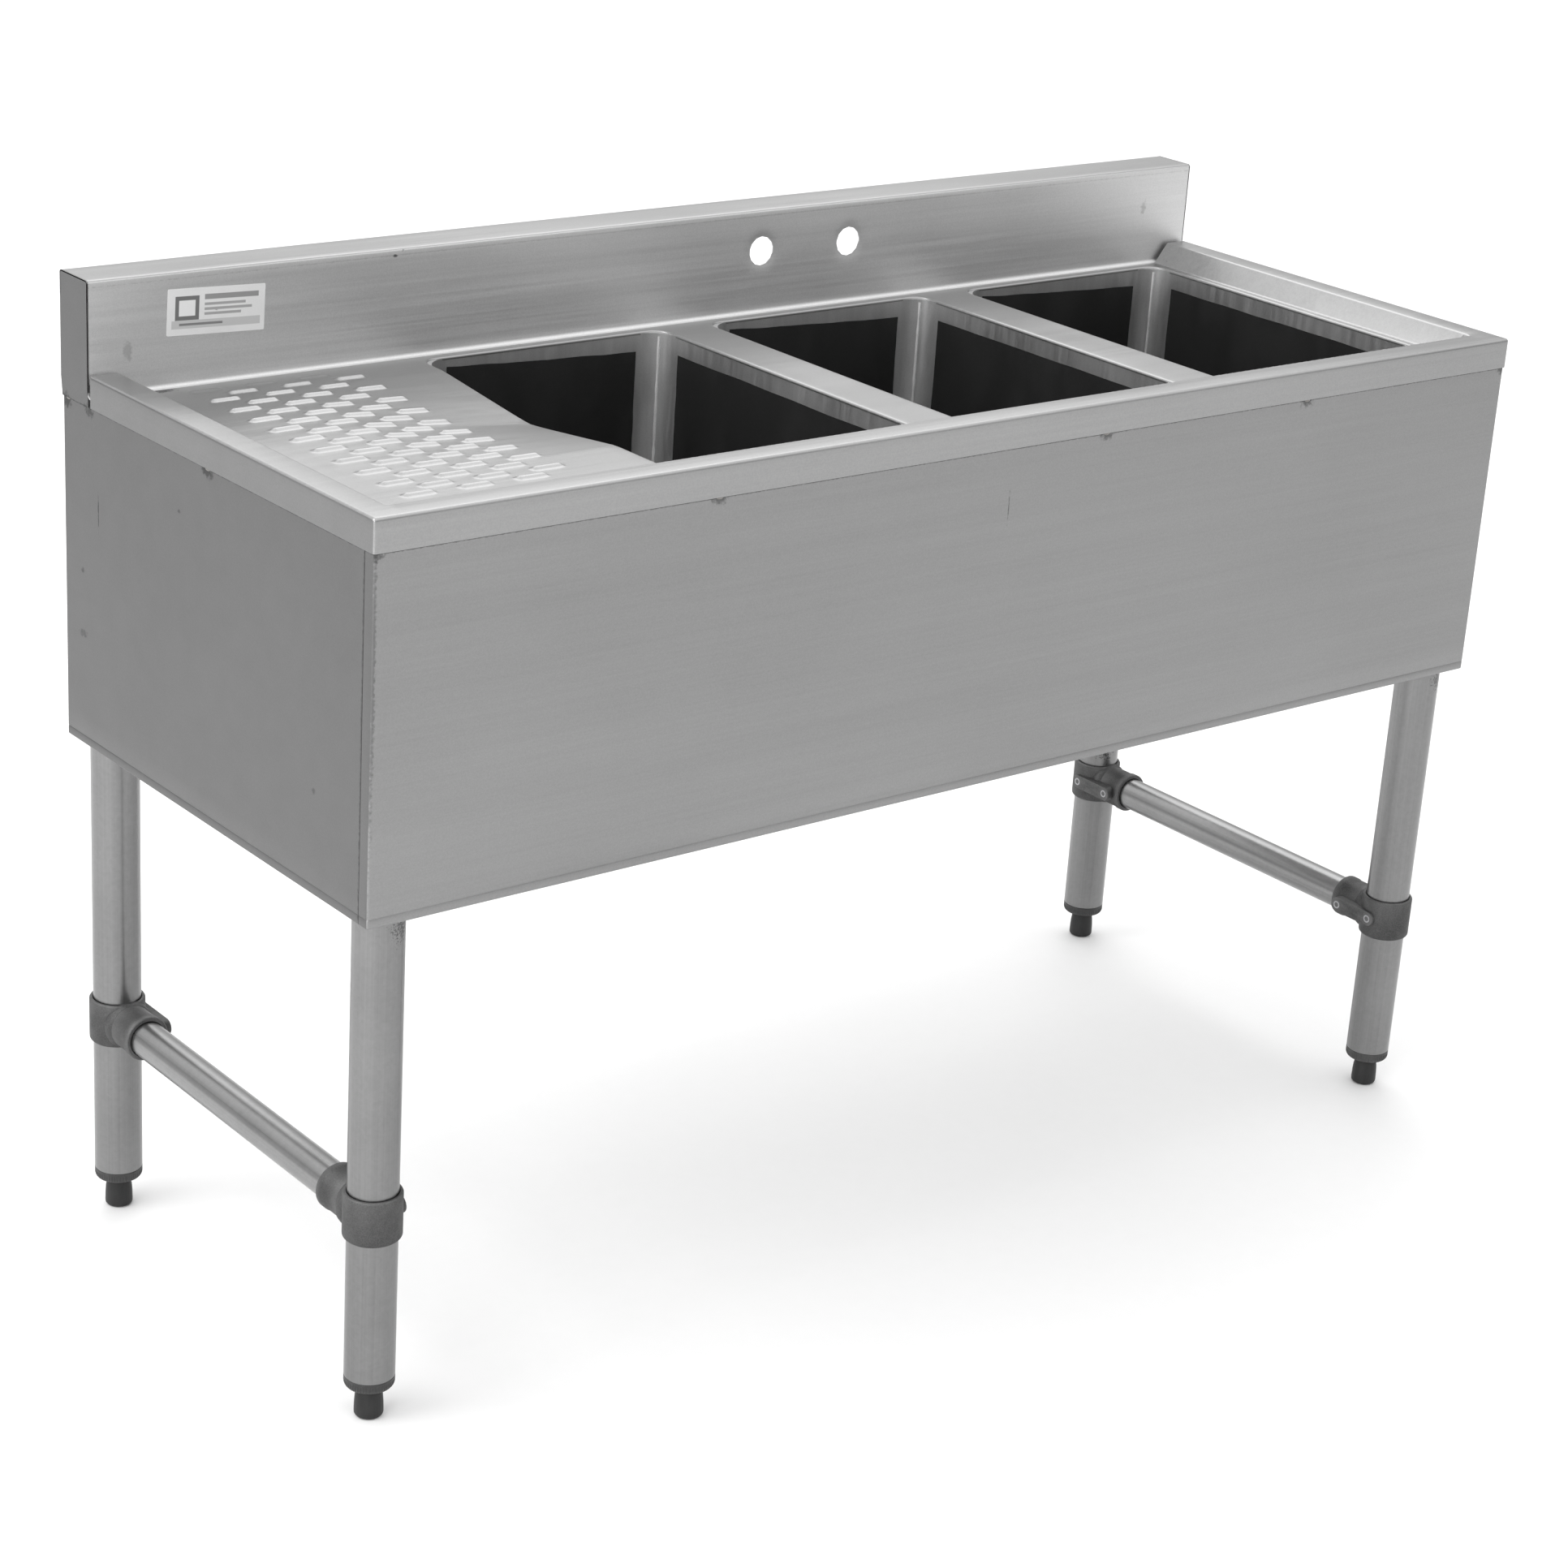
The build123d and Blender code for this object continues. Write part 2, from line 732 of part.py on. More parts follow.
# Locknuts with six wrench lugs round the rim
with BuildPart() as drain_locknuts:
    with BuildSketch(Plane.XY.offset(nut_top - nut_height)):
        with Locations(*[(x, bowl_y) for x in bowl_xs]):
            Circle(nut_radius - 3)
            with PolarLocations(nut_radius - 4, 6):
                Rectangle(8, 14)
            Circle(cup_radius + screw_fit, mode=Mode.SUBTRACT)
    extrude(amount=nut_height)
save(drain_locknuts, "drain_locknuts")

with BuildPart() as tailpieces:
    with BuildSketch(Plane.XY.offset(spud_bottom - tail_length)):
        with Locations(*[(x, bowl_y) for x in bowl_xs]):
            Circle(tail_radius)
    extrude(amount=tail_length)
    with BuildSketch(Plane.XY.offset(spud_bottom - 2)):
        with Locations(*[(x, bowl_y) for x in bowl_xs]):
            Circle(tail_collar)
    extrude(amount=2)
    with BuildSketch(Plane.XY.offset(spud_bottom - tail_length)):
        with Locations(*[(x, bowl_y) for x in bowl_xs]):
            Circle(tail_radius - tail_wall)
    extrude(amount=tail_length, mode=Mode.SUBTRACT)
save(tailpieces, "tailpieces")

# Coupling nuts grip the tailpiece's collar and screw onto the spud
coupling_bottom = spud_bottom - 5
with BuildPart() as coupling_nuts:
    with BuildSketch(Plane.XY.offset(coupling_bottom)):
        with Locations(*[(x, bowl_y) for x in bowl_xs]):
            RegularPolygon(coupling_radius, 8)
    extrude(amount=coupling_height)
    with BuildSketch(Plane.XY.offset(coupling_bottom)):
        with Locations(*[(x, bowl_y) for x in bowl_xs]):
            Circle(tail_radius + coupling_clearance)
    extrude(amount=coupling_height, mode=Mode.SUBTRACT)
    with BuildSketch(Plane.XY.offset(spud_bottom - 2)):
        with Locations(*[(x, bowl_y) for x in bowl_xs]):
            Circle(spud_radius + screw_fit)
    extrude(amount=coupling_height, mode=Mode.SUBTRACT)
save(coupling_nuts, "coupling_nuts")

# ---------------------------------------------------------------------------
# Maker's label on the splash, and the tack welds under the skirt
# ---------------------------------------------------------------------------

with BuildPart() as label:
    with BuildSketch(Plane.XZ.offset(-splash_front)):
        with Locations(Location((left + label_x, label_z), label_tilt)):
            Rectangle(label_length, label_height)
    extrude(amount=label_thickness)
save(label, "maker_label")

tack_long = 3.5
tack_high = 2.6
front_tack_xs = (312.0, 718.4, 959.0)
side_tack_ys = (240.0, 466.0)


def tack_bead(turn):
    """A flat weld bead under the skirt. It faces the front before its turn."""
    outline = Polyline(
        (-tack_long, 0),
        (-0.6 * tack_long, -sheet),
        (0.6 * tack_long, -sheet),
        (tack_long, 0),
        close=True,
    )
    return Rot(0, 0, turn) * extrude(make_face(outline), amount=-tack_high)


front_bead = tack_bead(0)
side_beads = {sign: tack_bead(90 * sign) for sign in (-1, 1)}
with BuildPart() as tack_welds:
    with Locations(*[(left + x, front + sheet, skirt_bottom) for x in front_tack_xs]):
        add(front_bead)
    for sign, side_bead in side_beads.items():
        side_x = sign * (right - sheet)
        with Locations(*[(side_x, front + y, skirt_bottom) for y in side_tack_ys]):
            add(side_bead)
save(tack_welds, "tack_welds")
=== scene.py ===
import json
from math import acos, atan2, cos, hypot, pi, radians, sin, sqrt

import bmesh
import bpy
from mathutils import Matrix, Vector, noise
from mathutils.geometry import delaunay_2d_cdt


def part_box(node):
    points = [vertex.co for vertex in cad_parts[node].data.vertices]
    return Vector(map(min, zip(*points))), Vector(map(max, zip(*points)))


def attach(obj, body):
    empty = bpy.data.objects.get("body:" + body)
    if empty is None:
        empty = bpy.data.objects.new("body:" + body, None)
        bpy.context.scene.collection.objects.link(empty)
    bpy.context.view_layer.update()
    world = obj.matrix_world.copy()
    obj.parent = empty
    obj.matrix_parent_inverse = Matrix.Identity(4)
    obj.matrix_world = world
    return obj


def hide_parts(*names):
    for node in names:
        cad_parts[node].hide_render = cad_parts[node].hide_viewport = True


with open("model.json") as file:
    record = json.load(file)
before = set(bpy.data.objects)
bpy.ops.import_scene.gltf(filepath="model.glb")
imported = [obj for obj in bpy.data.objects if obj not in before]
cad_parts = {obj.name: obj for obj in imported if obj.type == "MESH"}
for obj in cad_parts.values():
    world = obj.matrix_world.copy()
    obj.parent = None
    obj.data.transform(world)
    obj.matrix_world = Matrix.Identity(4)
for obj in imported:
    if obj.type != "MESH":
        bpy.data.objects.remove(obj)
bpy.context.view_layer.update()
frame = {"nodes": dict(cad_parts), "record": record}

# Looks of a three-bowl underbar sink. Metres, in the frame of the CAD model:
# X along the front from left to right, Y from front to back, Z up.

MM = 0.001
SINK = "sink"
PLACES = ("front_left", "front_right", "back_left", "back_right")

# --- Places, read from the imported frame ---

deck_low, deck_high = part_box("deck")
_, splash_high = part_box("backsplash")
apron_low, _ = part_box("front_apron")
end_low, end_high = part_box("splash_end_left")

LEFT, RIGHT = deck_low.x, deck_high.x
FRONT, BACK = deck_low.y, splash_high.y
SPLASH_FRONT = deck_high.y
RIM_TOP = deck_high.z
TOP = splash_high.z
SKIRT_BOTTOM = end_low.z
APRON_BOTTOM = apron_low.z
SHEET = end_high.x - end_low.x

# Top sheet
DECK_TOP = RIM_TOP - 19 * MM
RIM_WIDTH = 25 * MM
SLOPE_END = 40 * MM
RIM_FLAT_END = 43 * MM
OUTER_BEND = 3.0 * MM
SLOPE_BEND = 3.0 * MM
FOOT_BEND = 4.0 * MM

# Openings and bowls
LIP = 6 * MM
OPENING_CORNER = 15 * MM
OPENING_ROLL = 2.0 * MM
OPENING_TURN_DOWN = 1.0 * MM
BOWL_COVE = 26 * MM
BEHIND = 0.25 * MM

# Drainboard valley and drip bumps, measured from the left end and the front
VALLEY_START = LEFT + 150 * MM
VALLEY_BACK = FRONT + 388 * MM
VALLEY_LOW = FRONT + 250 * MM
VALLEY_FRONT = FRONT + 126 * MM
VALLEY_DROP = 14.5 * MM
BUMP_LENGTH = 32 * MM
BUMP_WIDTH = 11 * MM
BUMP_HEIGHT = 2.6 * MM
BUMP_PITCH = Vector((51.0, 16.04)) * MM
BUMP_FIRST = Vector((LEFT + 94.5 * MM, FRONT + 409.5 * MM))
BUMP_ROWS = 21
BUMPS_IN_ROW = 3

# Tack welds under the front skirt, in mm from the left end
FRONT_TACKS = (312.0, 718.4, 959.0)


def bowl_box(number):
    """Inner left, right, front and back of a bowl, without its welded lip."""
    low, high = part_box(f"bowl_{number}")
    return low.x + LIP, high.x - LIP, low.y + LIP, high.y - LIP


BOWLS = {number: bowl_box(number) for number in (1, 2, 3)}
BOWL_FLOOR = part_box("drain_body_1")[1].z - 1.5 * MM
DRAIN_HOLE = 44.5 * MM
LABEL_TILT = radians(2.15)

# --- Mesh helpers ---


def clamp(value, low=0.0, high=1.0):
    return max(low, min(high, value))


def smooth(value):
    value = clamp(value)
    return value * value * (3 - 2 * value)


def wave(x, y, z, size, seed=0.0):
    """A soft, even, repeatable noise between about -1 and 1."""
    return noise.noise(Vector((x / size + seed, y / size - seed, z / size + 2 * seed)))


def grid_faces(rows, columns, close=False, start=0):
    """Quads over a grid of rows by columns points; close joins the last column to the first."""
    faces = []
    for row in range(rows - 1):
        for column in range(columns if close else columns - 1):
            a = start + row * columns + column
            b = start + row * columns + (column + 1) % columns
            faces.append((a, b, b + columns, a + columns))
    return faces


def make_object(name, verts, faces):
    mesh = bpy.data.meshes.new(name)
    mesh.from_pydata([tuple(v) for v in verts], [], faces)
    obj = bpy.data.objects.new(name, mesh)
    bpy.context.scene.collection.objects.link(obj)
    return obj


def clean(obj, weld=0.005 * MM, up=None):
    """Joins doubled points and makes the faces agree. up is a direction that most faces should look."""
    bm = bmesh.new()
    bm.from_mesh(obj.data)
    bmesh.ops.remove_doubles(bm, verts=bm.verts, dist=weld)
    bmesh.ops.dissolve_degenerate(bm, dist=weld / 2, edges=bm.edges)
    bmesh.ops.recalc_face_normals(bm, faces=bm.faces)
    if up is not None:
        agree = sum(f.normal.dot(up) * f.calc_area() for f in bm.faces)
        if agree < 0:
            bmesh.ops.reverse_faces(bm, faces=bm.faces)
    bm.to_mesh(obj.data)
    bm.free()
    return obj


def apply_modifiers(obj):
    """Writes the result of an object's modifiers into its mesh."""
    graph = bpy.context.evaluated_depsgraph_get()
    graph.update()
    mesh = bpy.data.meshes.new_from_object(obj.evaluated_get(graph))
    old = obj.data
    obj.modifiers.clear()
    obj.data = mesh
    mesh.name = obj.name
    bpy.data.meshes.remove(old)
    return obj


def thicken(obj, thickness=SHEET):
    """Gives a sheet its thickness, behind its faces, and keeps it between the sink's ends."""
    modifier = obj.modifiers.new("sheet", "SOLIDIFY")
    modifier.thickness = thickness
    modifier.offset = -1
    modifier.use_even_offset = True
    apply_modifiers(obj)
    for vertex in obj.data.vertices:
        vertex.co.x = clamp(vertex.co.x, LEFT, RIGHT)
    return obj


def shade(obj, angle=38):
    """Smooth shading that keeps edges sharper than angle."""
    obj.data.shade_smooth()
    obj.data.set_sharp_from_angle(angle=radians(angle))
    return obj


def dress(obj, material, body=SINK, replaces=(), angle=38):
    """Shades a finished piece, gives it its material, and hangs it on its CAD body."""
    shade(obj, angle)
    obj.data.materials.clear()
    obj.data.materials.append(material)
    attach(obj, body)
    if replaces:
        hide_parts(*replaces)
    return obj


def rounded_line(points, radii, steps=5):
    """A polyline with its inner corners rounded by arcs. radii has one value for each inner corner."""
    out = [Vector(points[0])]
    for before, corner, after, radius in zip(points, points[1:], points[2:], radii):
        before, corner, after = Vector(before), Vector(corner), Vector(after)
        into = (before - corner).normalized()
        away = (after - corner).normalized()
        half = acos(clamp(into.dot(away), -1, 1)) / 2
        reach = radius / max(1e-9, abs(sin(half) / cos(half)))
        middle = corner + (into + away).normalized() * (radius / sin(half))
        first = corner + into * reach - middle
        last = corner + away * reach - middle
        sweep = pi - 2 * half
        for step in range(steps + 1):
            share = step / steps
            turned = (
                first * sin((1 - share) * sweep) + last * sin(share * sweep)
            ) / sin(sweep)
            out.append(middle + turned)
    out.append(Vector(points[-1]))
    return out


def spread(start, end, count):
    """count + 1 evenly spaced values from start to end."""
    return [start + (end - start) * step / count for step in range(count + 1)]


def divided(points, longest):
    """The same polyline with extra points, so that no piece is longer than longest."""
    out = [points[0]]
    for a, b in zip(points, points[1:]):
        count = max(1, round((b - a).length / longest + 0.49))
        out.extend(a.lerp(b, step / count) for step in range(1, count + 1))
    return out


def rounded_rectangle(x0, x1, y0, y1, radius, arc=8, sides=(10, 14)):
    """Points and outward directions round a rectangle with rounded corners, anticlockwise."""
    middles = [(x1 - radius, y1 - radius), (x0 + radius, y1 - radius)]
    middles += [(x0 + radius, y0 + radius), (x1 - radius, y0 + radius)]
    out = []
    for number, middle in enumerate(middles):
        for step in range(arc + 1):
            angle = radians(90 * number + 90 * step / arc)
            way = Vector((cos(angle), sin(angle)))
            out.append((Vector(middle) + way * radius, way))
        here, way = out[-1]
        after = (number + 1) % 4
        angle = radians(90 * after)
        there = Vector(middles[after]) + Vector((cos(angle), sin(angle))) * radius
        count = sides[number % 2]
        for step in range(1, count):
            out.append((here.lerp(there, step / count), way))
    return out


def quarter(steps):
    """Sines and cosines of steps + 1 even angles over a quarter turn."""
    angles = [radians(90 * step / steps) for step in range(steps + 1)]
    return [(sin(angle), cos(angle)) for angle in angles]


def triangulated(groups, keep):
    """Points and triangles of a flat mesh. groups holds (points, closed), where a closed group is also a
    loop of edges, and keep says whether a triangle with its middle at a point stays."""
    coords, edges = [], []
    for points, closed in groups:
        first, count = len(coords), len(points)
        coords.extend(points)
        if closed:
            edges.extend((first + k, first + (k + 1) % count) for k in range(count))
    points, _, faces, *_ = delaunay_2d_cdt(coords, edges, [], 1, 1e-7)
    faces = [tuple(f) for f in faces if keep(sum((points[i] for i in f), Vector((0, 0))) / len(f))]
    return points, faces


def revolved(name, profile, centre, segments=72, axis="Z", ribs=0, depth=0.0):
    """A closed body of revolution. profile is a closed loop of (radius, height) about the centre, and a
    third value is how much of the depth of the fine ribs along the axis a point has."""
    verts = []
    for step in range(segments):
        angle = 2 * pi * step / segments
        for radius, height, *share in profile:
            cut = depth * share[0] * (0.5 + 0.5 * cos(ribs * angle)) if share else 0.0
            x, y = (radius - cut) * cos(angle), (radius - cut) * sin(angle)
            turned = (x, y, height) if axis == "Z" else (x, height, y)
            verts.append([c + t for c, t in zip(centre, turned)])
    count = len(profile)
    faces = []
    for step in range(segments):
        here, there = step * count, (step + 1) % segments * count
        for point in range(count):
            after = (point + 1) % count
            faces.append((here + point, here + after, there + after, there + point))
    return clean(make_object(name, verts, faces), weld=0.002 * MM)


def flat_uv(obj, centre, axis="Z"):
    """UV for tubes: round the axis, and along it in metres."""
    layer = obj.data.uv_layers.new(name="along")
    for loop in obj.data.loops:
        point = obj.data.vertices[loop.vertex_index].co - Vector(centre)
        if axis == "Z":
            angle, along = atan2(point.y, point.x), point.z
        else:
            angle, along = atan2(point.z, point.x), point.y
        layer.data[loop.index].uv = (angle / (2 * pi) + 0.5, along)
    return obj


# --- Materials ---

# Grey that the steel marks darken towards: dirt and weld marks, and painted shade lines.
DIRT_AND_PAINTED_SHADE = 0.05
INK = 0.03
MOTTLE = 0.18


class Nodes:
    """Short names for building a material's node tree."""

    def __init__(self, name):
        self.material = bpy.data.materials.new(name)
        self.material.use_nodes = True
        self.tree = self.material.node_tree
        self.tree.nodes.clear()
        self.out = self.add("ShaderNodeOutputMaterial")
        self.shader = self.add("ShaderNodeBsdfPrincipled")
        self.link(self.shader.outputs[0], self.out.inputs[0])
        self.where = self.add("ShaderNodeTexCoord")

    def add(self, kind, **values):
        node = self.tree.nodes.new(kind)
        for key, value in values.items():
            setattr(node, key, value)
        return node

    def link(self, source, target):
        self.tree.links.new(source, target)

    def set(self, **values):
        for key, value in values.items():
            self.shader.inputs[key.replace("_", " ")].default_value = value

    def stretched(self, scale, source="Object"):
        node = self.add("ShaderNodeMapping")
        node.inputs["Scale"].default_value = scale
        self.link(self.where.outputs[source], node.inputs["Vector"])
        return node.outputs[0]

    def noise(self, scale, detail=3.0, stretch=(1, 1, 1), rough=0.5, source="Object", warp=0.0):
        node = self.add("ShaderNodeTexNoise")
        node.inputs["Scale"].default_value = scale
        node.inputs["Detail"].default_value = detail
        node.inputs["Roughness"].default_value = rough
        node.inputs["Distortion"].default_value = warp
        self.link(self.stretched(stretch, source), node.inputs["Vector"])
        return node.outputs["Fac"]

    def math(self, operation, *values):
        node = self.add("ShaderNodeMath", operation=operation)
        for index, value in enumerate(values):
            if isinstance(value, (int, float)):
                node.inputs[index].default_value = value
            else:
                self.link(value, node.inputs[index])
        return node.outputs[0]

    def plus(self, first, *others):
        for other in others:
            first = self.math("ADD", first, other)
        return first

    def minus(self, a, b):
        return self.math("SUBTRACT", a, b)

    def times(self, a, b):
        return self.math("MULTIPLY", a, b)

    def vary(self, value, low, high):
        """Spreads a noise over a range, without its rare extremes."""
        return self.span(value, 0.3, 0.7, low, high)

    def span(self, value, low, high, to_low=0.0, to_high=1.0, soft=False):
        node = self.add("ShaderNodeMapRange")
        if soft:
            node.interpolation_type = "SMOOTHSTEP"
        self.link(value, node.inputs["Value"])
        node.inputs["From Min"].default_value = low
        node.inputs["From Max"].default_value = high
        node.inputs["To Min"].default_value = to_low
        node.inputs["To Max"].default_value = to_high
        return node.outputs["Result"]

    def mix(self, factor, a, b):
        """Mixes two greys or colours by a factor."""
        node = self.add("ShaderNodeMix", data_type="RGBA")
        self.link(factor, node.inputs[0])
        for index, value in ((6, a), (7, b)):
            if isinstance(value, (int, float)):
                node.inputs[index].default_value = (value, value, value, 1)
            elif isinstance(value, tuple):
                node.inputs[index].default_value = (*value, 1)
            else:
                self.link(value, node.inputs[index])
        return node.outputs[2]

    def bump(self, height, distance, strength, after):
        node = self.add("ShaderNodeBump")
        node.inputs["Strength"].default_value = strength
        node.inputs["Distance"].default_value = distance
        self.link(height, node.inputs["Height"])
        if after is not None:
            self.link(after, node.inputs["Normal"])
        return node.outputs[0]

    def blot(self, centre, size, ragged=0.35, grain=300.0):
        """1 inside a ragged ellipsoid about a point of the object, 0 outside."""
        offset = self.add("ShaderNodeVectorMath", operation="SUBTRACT")
        self.link(self.where.outputs["Object"], offset.inputs[0])
        offset.inputs[1].default_value = centre
        ratio = self.add("ShaderNodeVectorMath", operation="DIVIDE")
        self.link(offset.outputs[0], ratio.inputs[0])
        ratio.inputs[1].default_value = size
        length = self.add("ShaderNodeVectorMath", operation="LENGTH")
        self.link(ratio.outputs[0], length.inputs[0])
        far = self.plus(length.outputs["Value"], self.vary(self.noise(grain, 2.0), -ragged, ragged))
        return self.span(far, 0.35, 1.1, 1.0, 0.0, soft=True)

    def grey(self, level):
        tone = self.add("ShaderNodeCombineColor")
        for index in range(3):
            self.link(level, tone.inputs[index])
        return tone.outputs[0]

    def finish(self, colour, roughness, *reliefs):
        """Plugs in colour, roughness and a stack of bumps of (height, distance in mm, strength)."""
        self.link(colour, self.shader.inputs["Base Color"])
        self.link(roughness, self.shader.inputs["Roughness"])
        normal = None
        for height, distance, strength in reliefs:
            normal = self.bump(height, distance * MM, strength, normal)
        if normal is not None:
            self.link(normal, self.shader.inputs["Normal"])
        return self.material


def steel(name, grey, rough, grain=(3, 420, 420), marks=(), cloud=0.06, dents=0.25):
    """Brushed stainless sheet. grain stretches the brush lines; marks are (centre, size, strength), in mm,
    with the centre measured from the sink's left end, front edge and the floor."""
    n = Nodes(name)
    n.set(Metallic=1.0)
    lines = n.noise(1.0, 4.0, grain, rough=0.65)
    fine = n.noise(1.0, 3.0, tuple(2.3 * s for s in grain), rough=0.6)
    clouds = n.noise(5.0, 4.0, (0.6, 1.0, 1.0), warp=0.3)
    streaks = n.noise(1.0, 3.0, (1.2, 40, 40), rough=0.55)
    speckle = n.noise(750.0, 2.0, rough=0.7)
    shades = n.plus(n.vary(clouds, -cloud, cloud), n.span(lines, 0.25, 0.75, -0.06, 0.06))
    shades = n.plus(shades, n.vary(speckle, -0.05, 0.05), n.vary(streaks, -0.025, 0.025))
    colour = n.grey(n.times(n.plus(shades, 1.0), grey))
    roughness = n.plus(n.span(lines, 0.2, 0.8, rough - 0.05, rough + 0.07), n.vary(clouds, -0.03, 0.03))
    for (x, y, z), size, strength in marks:
        blot = n.blot((LEFT + x * MM, FRONT + y * MM, z * MM), [s * MM for s in size])
        amount = n.times(blot, strength)
        colour = n.mix(amount, colour, DIRT_AND_PAINTED_SHADE)
        roughness = n.plus(roughness, n.times(amount, 0.2))
    brush = n.plus(lines, n.times(fine, 0.5))
    return n.finish(colour, roughness, (brush, 0.02, 0.6), (n.noise(4.0, 2.0), dents, 0.5))


def tube_metal(name, grey, rough, seam, smudges=()):
    """Galvanised tube: faint lengthwise streaks, spangle and a dark weld line. Uses the tube's UV."""
    n = Nodes(name)
    n.set(Metallic=1.0)
    split = n.add("ShaderNodeSeparateXYZ")
    n.link(n.where.outputs["UV"], split.inputs[0])
    streaks = n.noise(1.0, 4.0, (60, 1.4, 1), source="UV", rough=0.6)
    spangle = n.noise(220.0, 3.0, warp=0.6)
    clouds = n.noise(14.0, 3.0)
    line = n.math("ABSOLUTE", n.minus(split.outputs[0], seam))
    weld = n.span(line, 0.004, 0.011, 1.0, 0.0, soft=True)
    halo = n.span(line, 0.01, 0.045, 1.0, 0.0, soft=True)
    shades = n.plus(n.vary(streaks, -0.07, 0.06), n.vary(spangle, -0.04, 0.04), n.vary(clouds, -0.05, 0.05))
    shades = n.minus(n.minus(shades, n.times(weld, 0.42)), n.times(halo, 0.07))
    colour = n.grey(n.times(n.plus(shades, 1.0), grey))
    for centre, size, strength in smudges:
        ink = n.times(n.blot(centre, size, ragged=0.95, grain=520.0), strength)
        colour = n.mix(ink, colour, INK)
    roughness = n.plus(n.span(streaks, 0.2, 0.8, rough - 0.06, rough + 0.08), n.times(weld, 0.1))
    return n.finish(colour, roughness, (streaks, 0.03, 0.5), (spangle, 0.02, 0.5), (weld, 0.12, 0.6))


def cast_grey(name):
    """Rough grey casting with a sandy skin, and convex edges painted lighter: rubbed wear and a painted
    edge highlight.
    """
    n = Nodes(name)
    n.set(Metallic=0.55)
    sand = n.noise(900.0, 4.0, rough=0.7)
    lumps = n.noise(120.0, 3.0)
    clouds = n.noise(25.0, 3.0)
    edge = n.add("ShaderNodeNewGeometry")
    # Lighter on convex edges: rubbed wear and a painted edge highlight.
    worn_and_highlit = n.span(edge.outputs["Pointiness"], 0.52, 0.62, soft=True)
    level = n.plus(n.vary(sand, 0.045, 0.095), n.vary(clouds, -0.012, 0.015), n.times(worn_and_highlit, 0.16))
    return n.finish(n.grey(level), n.vary(lumps, 0.48, 0.66), (sand, 0.12, 0.7), (lumps, 0.25, 0.6))


def plastic(name, grey, rough):
    """Dark moulded plastic with a fine grain and scuffs."""
    n = Nodes(name)
    n.set(Specular_IOR_Level=0.4)
    grain = n.noise(1400.0, 3.0)
    scuffs = n.noise(60.0, 5.0, (1, 1, 0.3), rough=0.7)
    level = n.plus(n.span(scuffs, 0.45, 0.75, grey, grey * 2.1), n.vary(grain, -0.15 * grey, 0.15 * grey))
    return n.finish(n.grey(level), n.vary(scuffs, rough - 0.08, rough + 0.1), (grain, 0.03, 0.5))


def film_black(name):
    """Thin black protective film, with slight wrinkles and a dusty sheen."""
    n = Nodes(name)
    n.set(Specular_IOR_Level=0.3)
    grain = n.noise(900.0, 3.0)
    wrinkle = n.noise(22.0, 4.0, (1, 1, 0.5), warp=0.8)
    level = n.plus(n.vary(grain, 0.0075, 0.0115), n.span(wrinkle, 0.45, 0.75, 0.0, 0.003))
    return n.finish(n.grey(level), n.vary(wrinkle, 0.5, 0.62), (wrinkle, 0.5, 0.35), (grain, 0.01, 0.4))


def tinted(name, colour, rough, metallic=0.0, scale=300.0, depth=0.04):
    """A coloured material with a fine mottled grain, for small fittings."""
    n = Nodes(name)
    n.set(Metallic=metallic)
    grain = n.noise(scale, 4.0, rough=0.6)
    broad = n.noise(scale / 12, 3.0)
    amount = n.plus(n.vary(grain, -0.5, 0.5), n.vary(broad, -0.5, 0.5))
    darker = tuple(c * (1 - MOTTLE) for c in colour)
    lighter = tuple(c * (1 + MOTTLE) for c in colour)
    tone = n.mix(n.span(amount, -1.0, 1.0), darker, lighter)
    return n.finish(tone, n.vary(broad, rough - 0.06, rough + 0.06), (grain, depth, 0.5))


# --- Pieces: top sheet ---

RIM_PROFILE = rounded_line(
    (
        (0, SKIRT_BOTTOM),
        (0, RIM_TOP),
        (RIM_WIDTH, RIM_TOP),
        (SLOPE_END, DECK_TOP),
        (RIM_FLAT_END, DECK_TOP),
    ),
    (OUTER_BEND, SLOPE_BEND, SLOPE_BEND),
    steps=6,
)


def from_edge(x, y):
    """Distance in from the nearest of the sheet's left, right and front edges."""
    return min(x - LEFT, RIGHT - x, y - FRONT)


def from_bowls(x, y):
    """Distance out from the nearest bowl, measured along X or Y, and below 0 over a bowl."""
    return min(max(x0 - x, x - x1, y0 - y, y - y1) for x0, x1, y0, y1 in BOWLS.values())


def rim_height(inward):
    """Height of the pressed rim at a distance in from the sheet's edge, on its level part and slope."""
    if inward >= RIM_FLAT_END:
        return DECK_TOP
    height = RIM_TOP
    for a, b in zip(RIM_PROFILE, RIM_PROFILE[1:]):
        if a.x <= inward <= b.x and b.x > a.x:
            height = a.y + (b.y - a.y) * (inward - a.x) / (b.x - a.x)
    return height


def valley(x, y):
    """Depth of the drainboard's crease, which runs down towards the bowls."""
    along = clamp((x - VALLEY_START) / (BOWLS[1][0] - VALLEY_START))
    if along <= 0:
        return 0.0
    if y >= VALLEY_LOW:
        side = clamp((VALLEY_BACK - y) / (VALLEY_BACK - VALLEY_LOW))
    else:
        side = clamp((y - VALLEY_FRONT) / (VALLEY_LOW - VALLEY_FRONT))
    fold = 0.07
    side = side - fold / 2 if side > fold else side * side / (2 * fold)
    past = smooth((BOWLS[1][1] - x) / (BOWLS[1][1] - BOWLS[1][0] - 40 * MM))
    return VALLEY_DROP * along * (rounded_fold(0.0) - rounded_fold(side)) * past


def rounded_fold(side):
    """Distance from the bottom of a fold, 1 far away and level at the bottom."""
    return sqrt((1 - side) ** 2 + 0.0064)


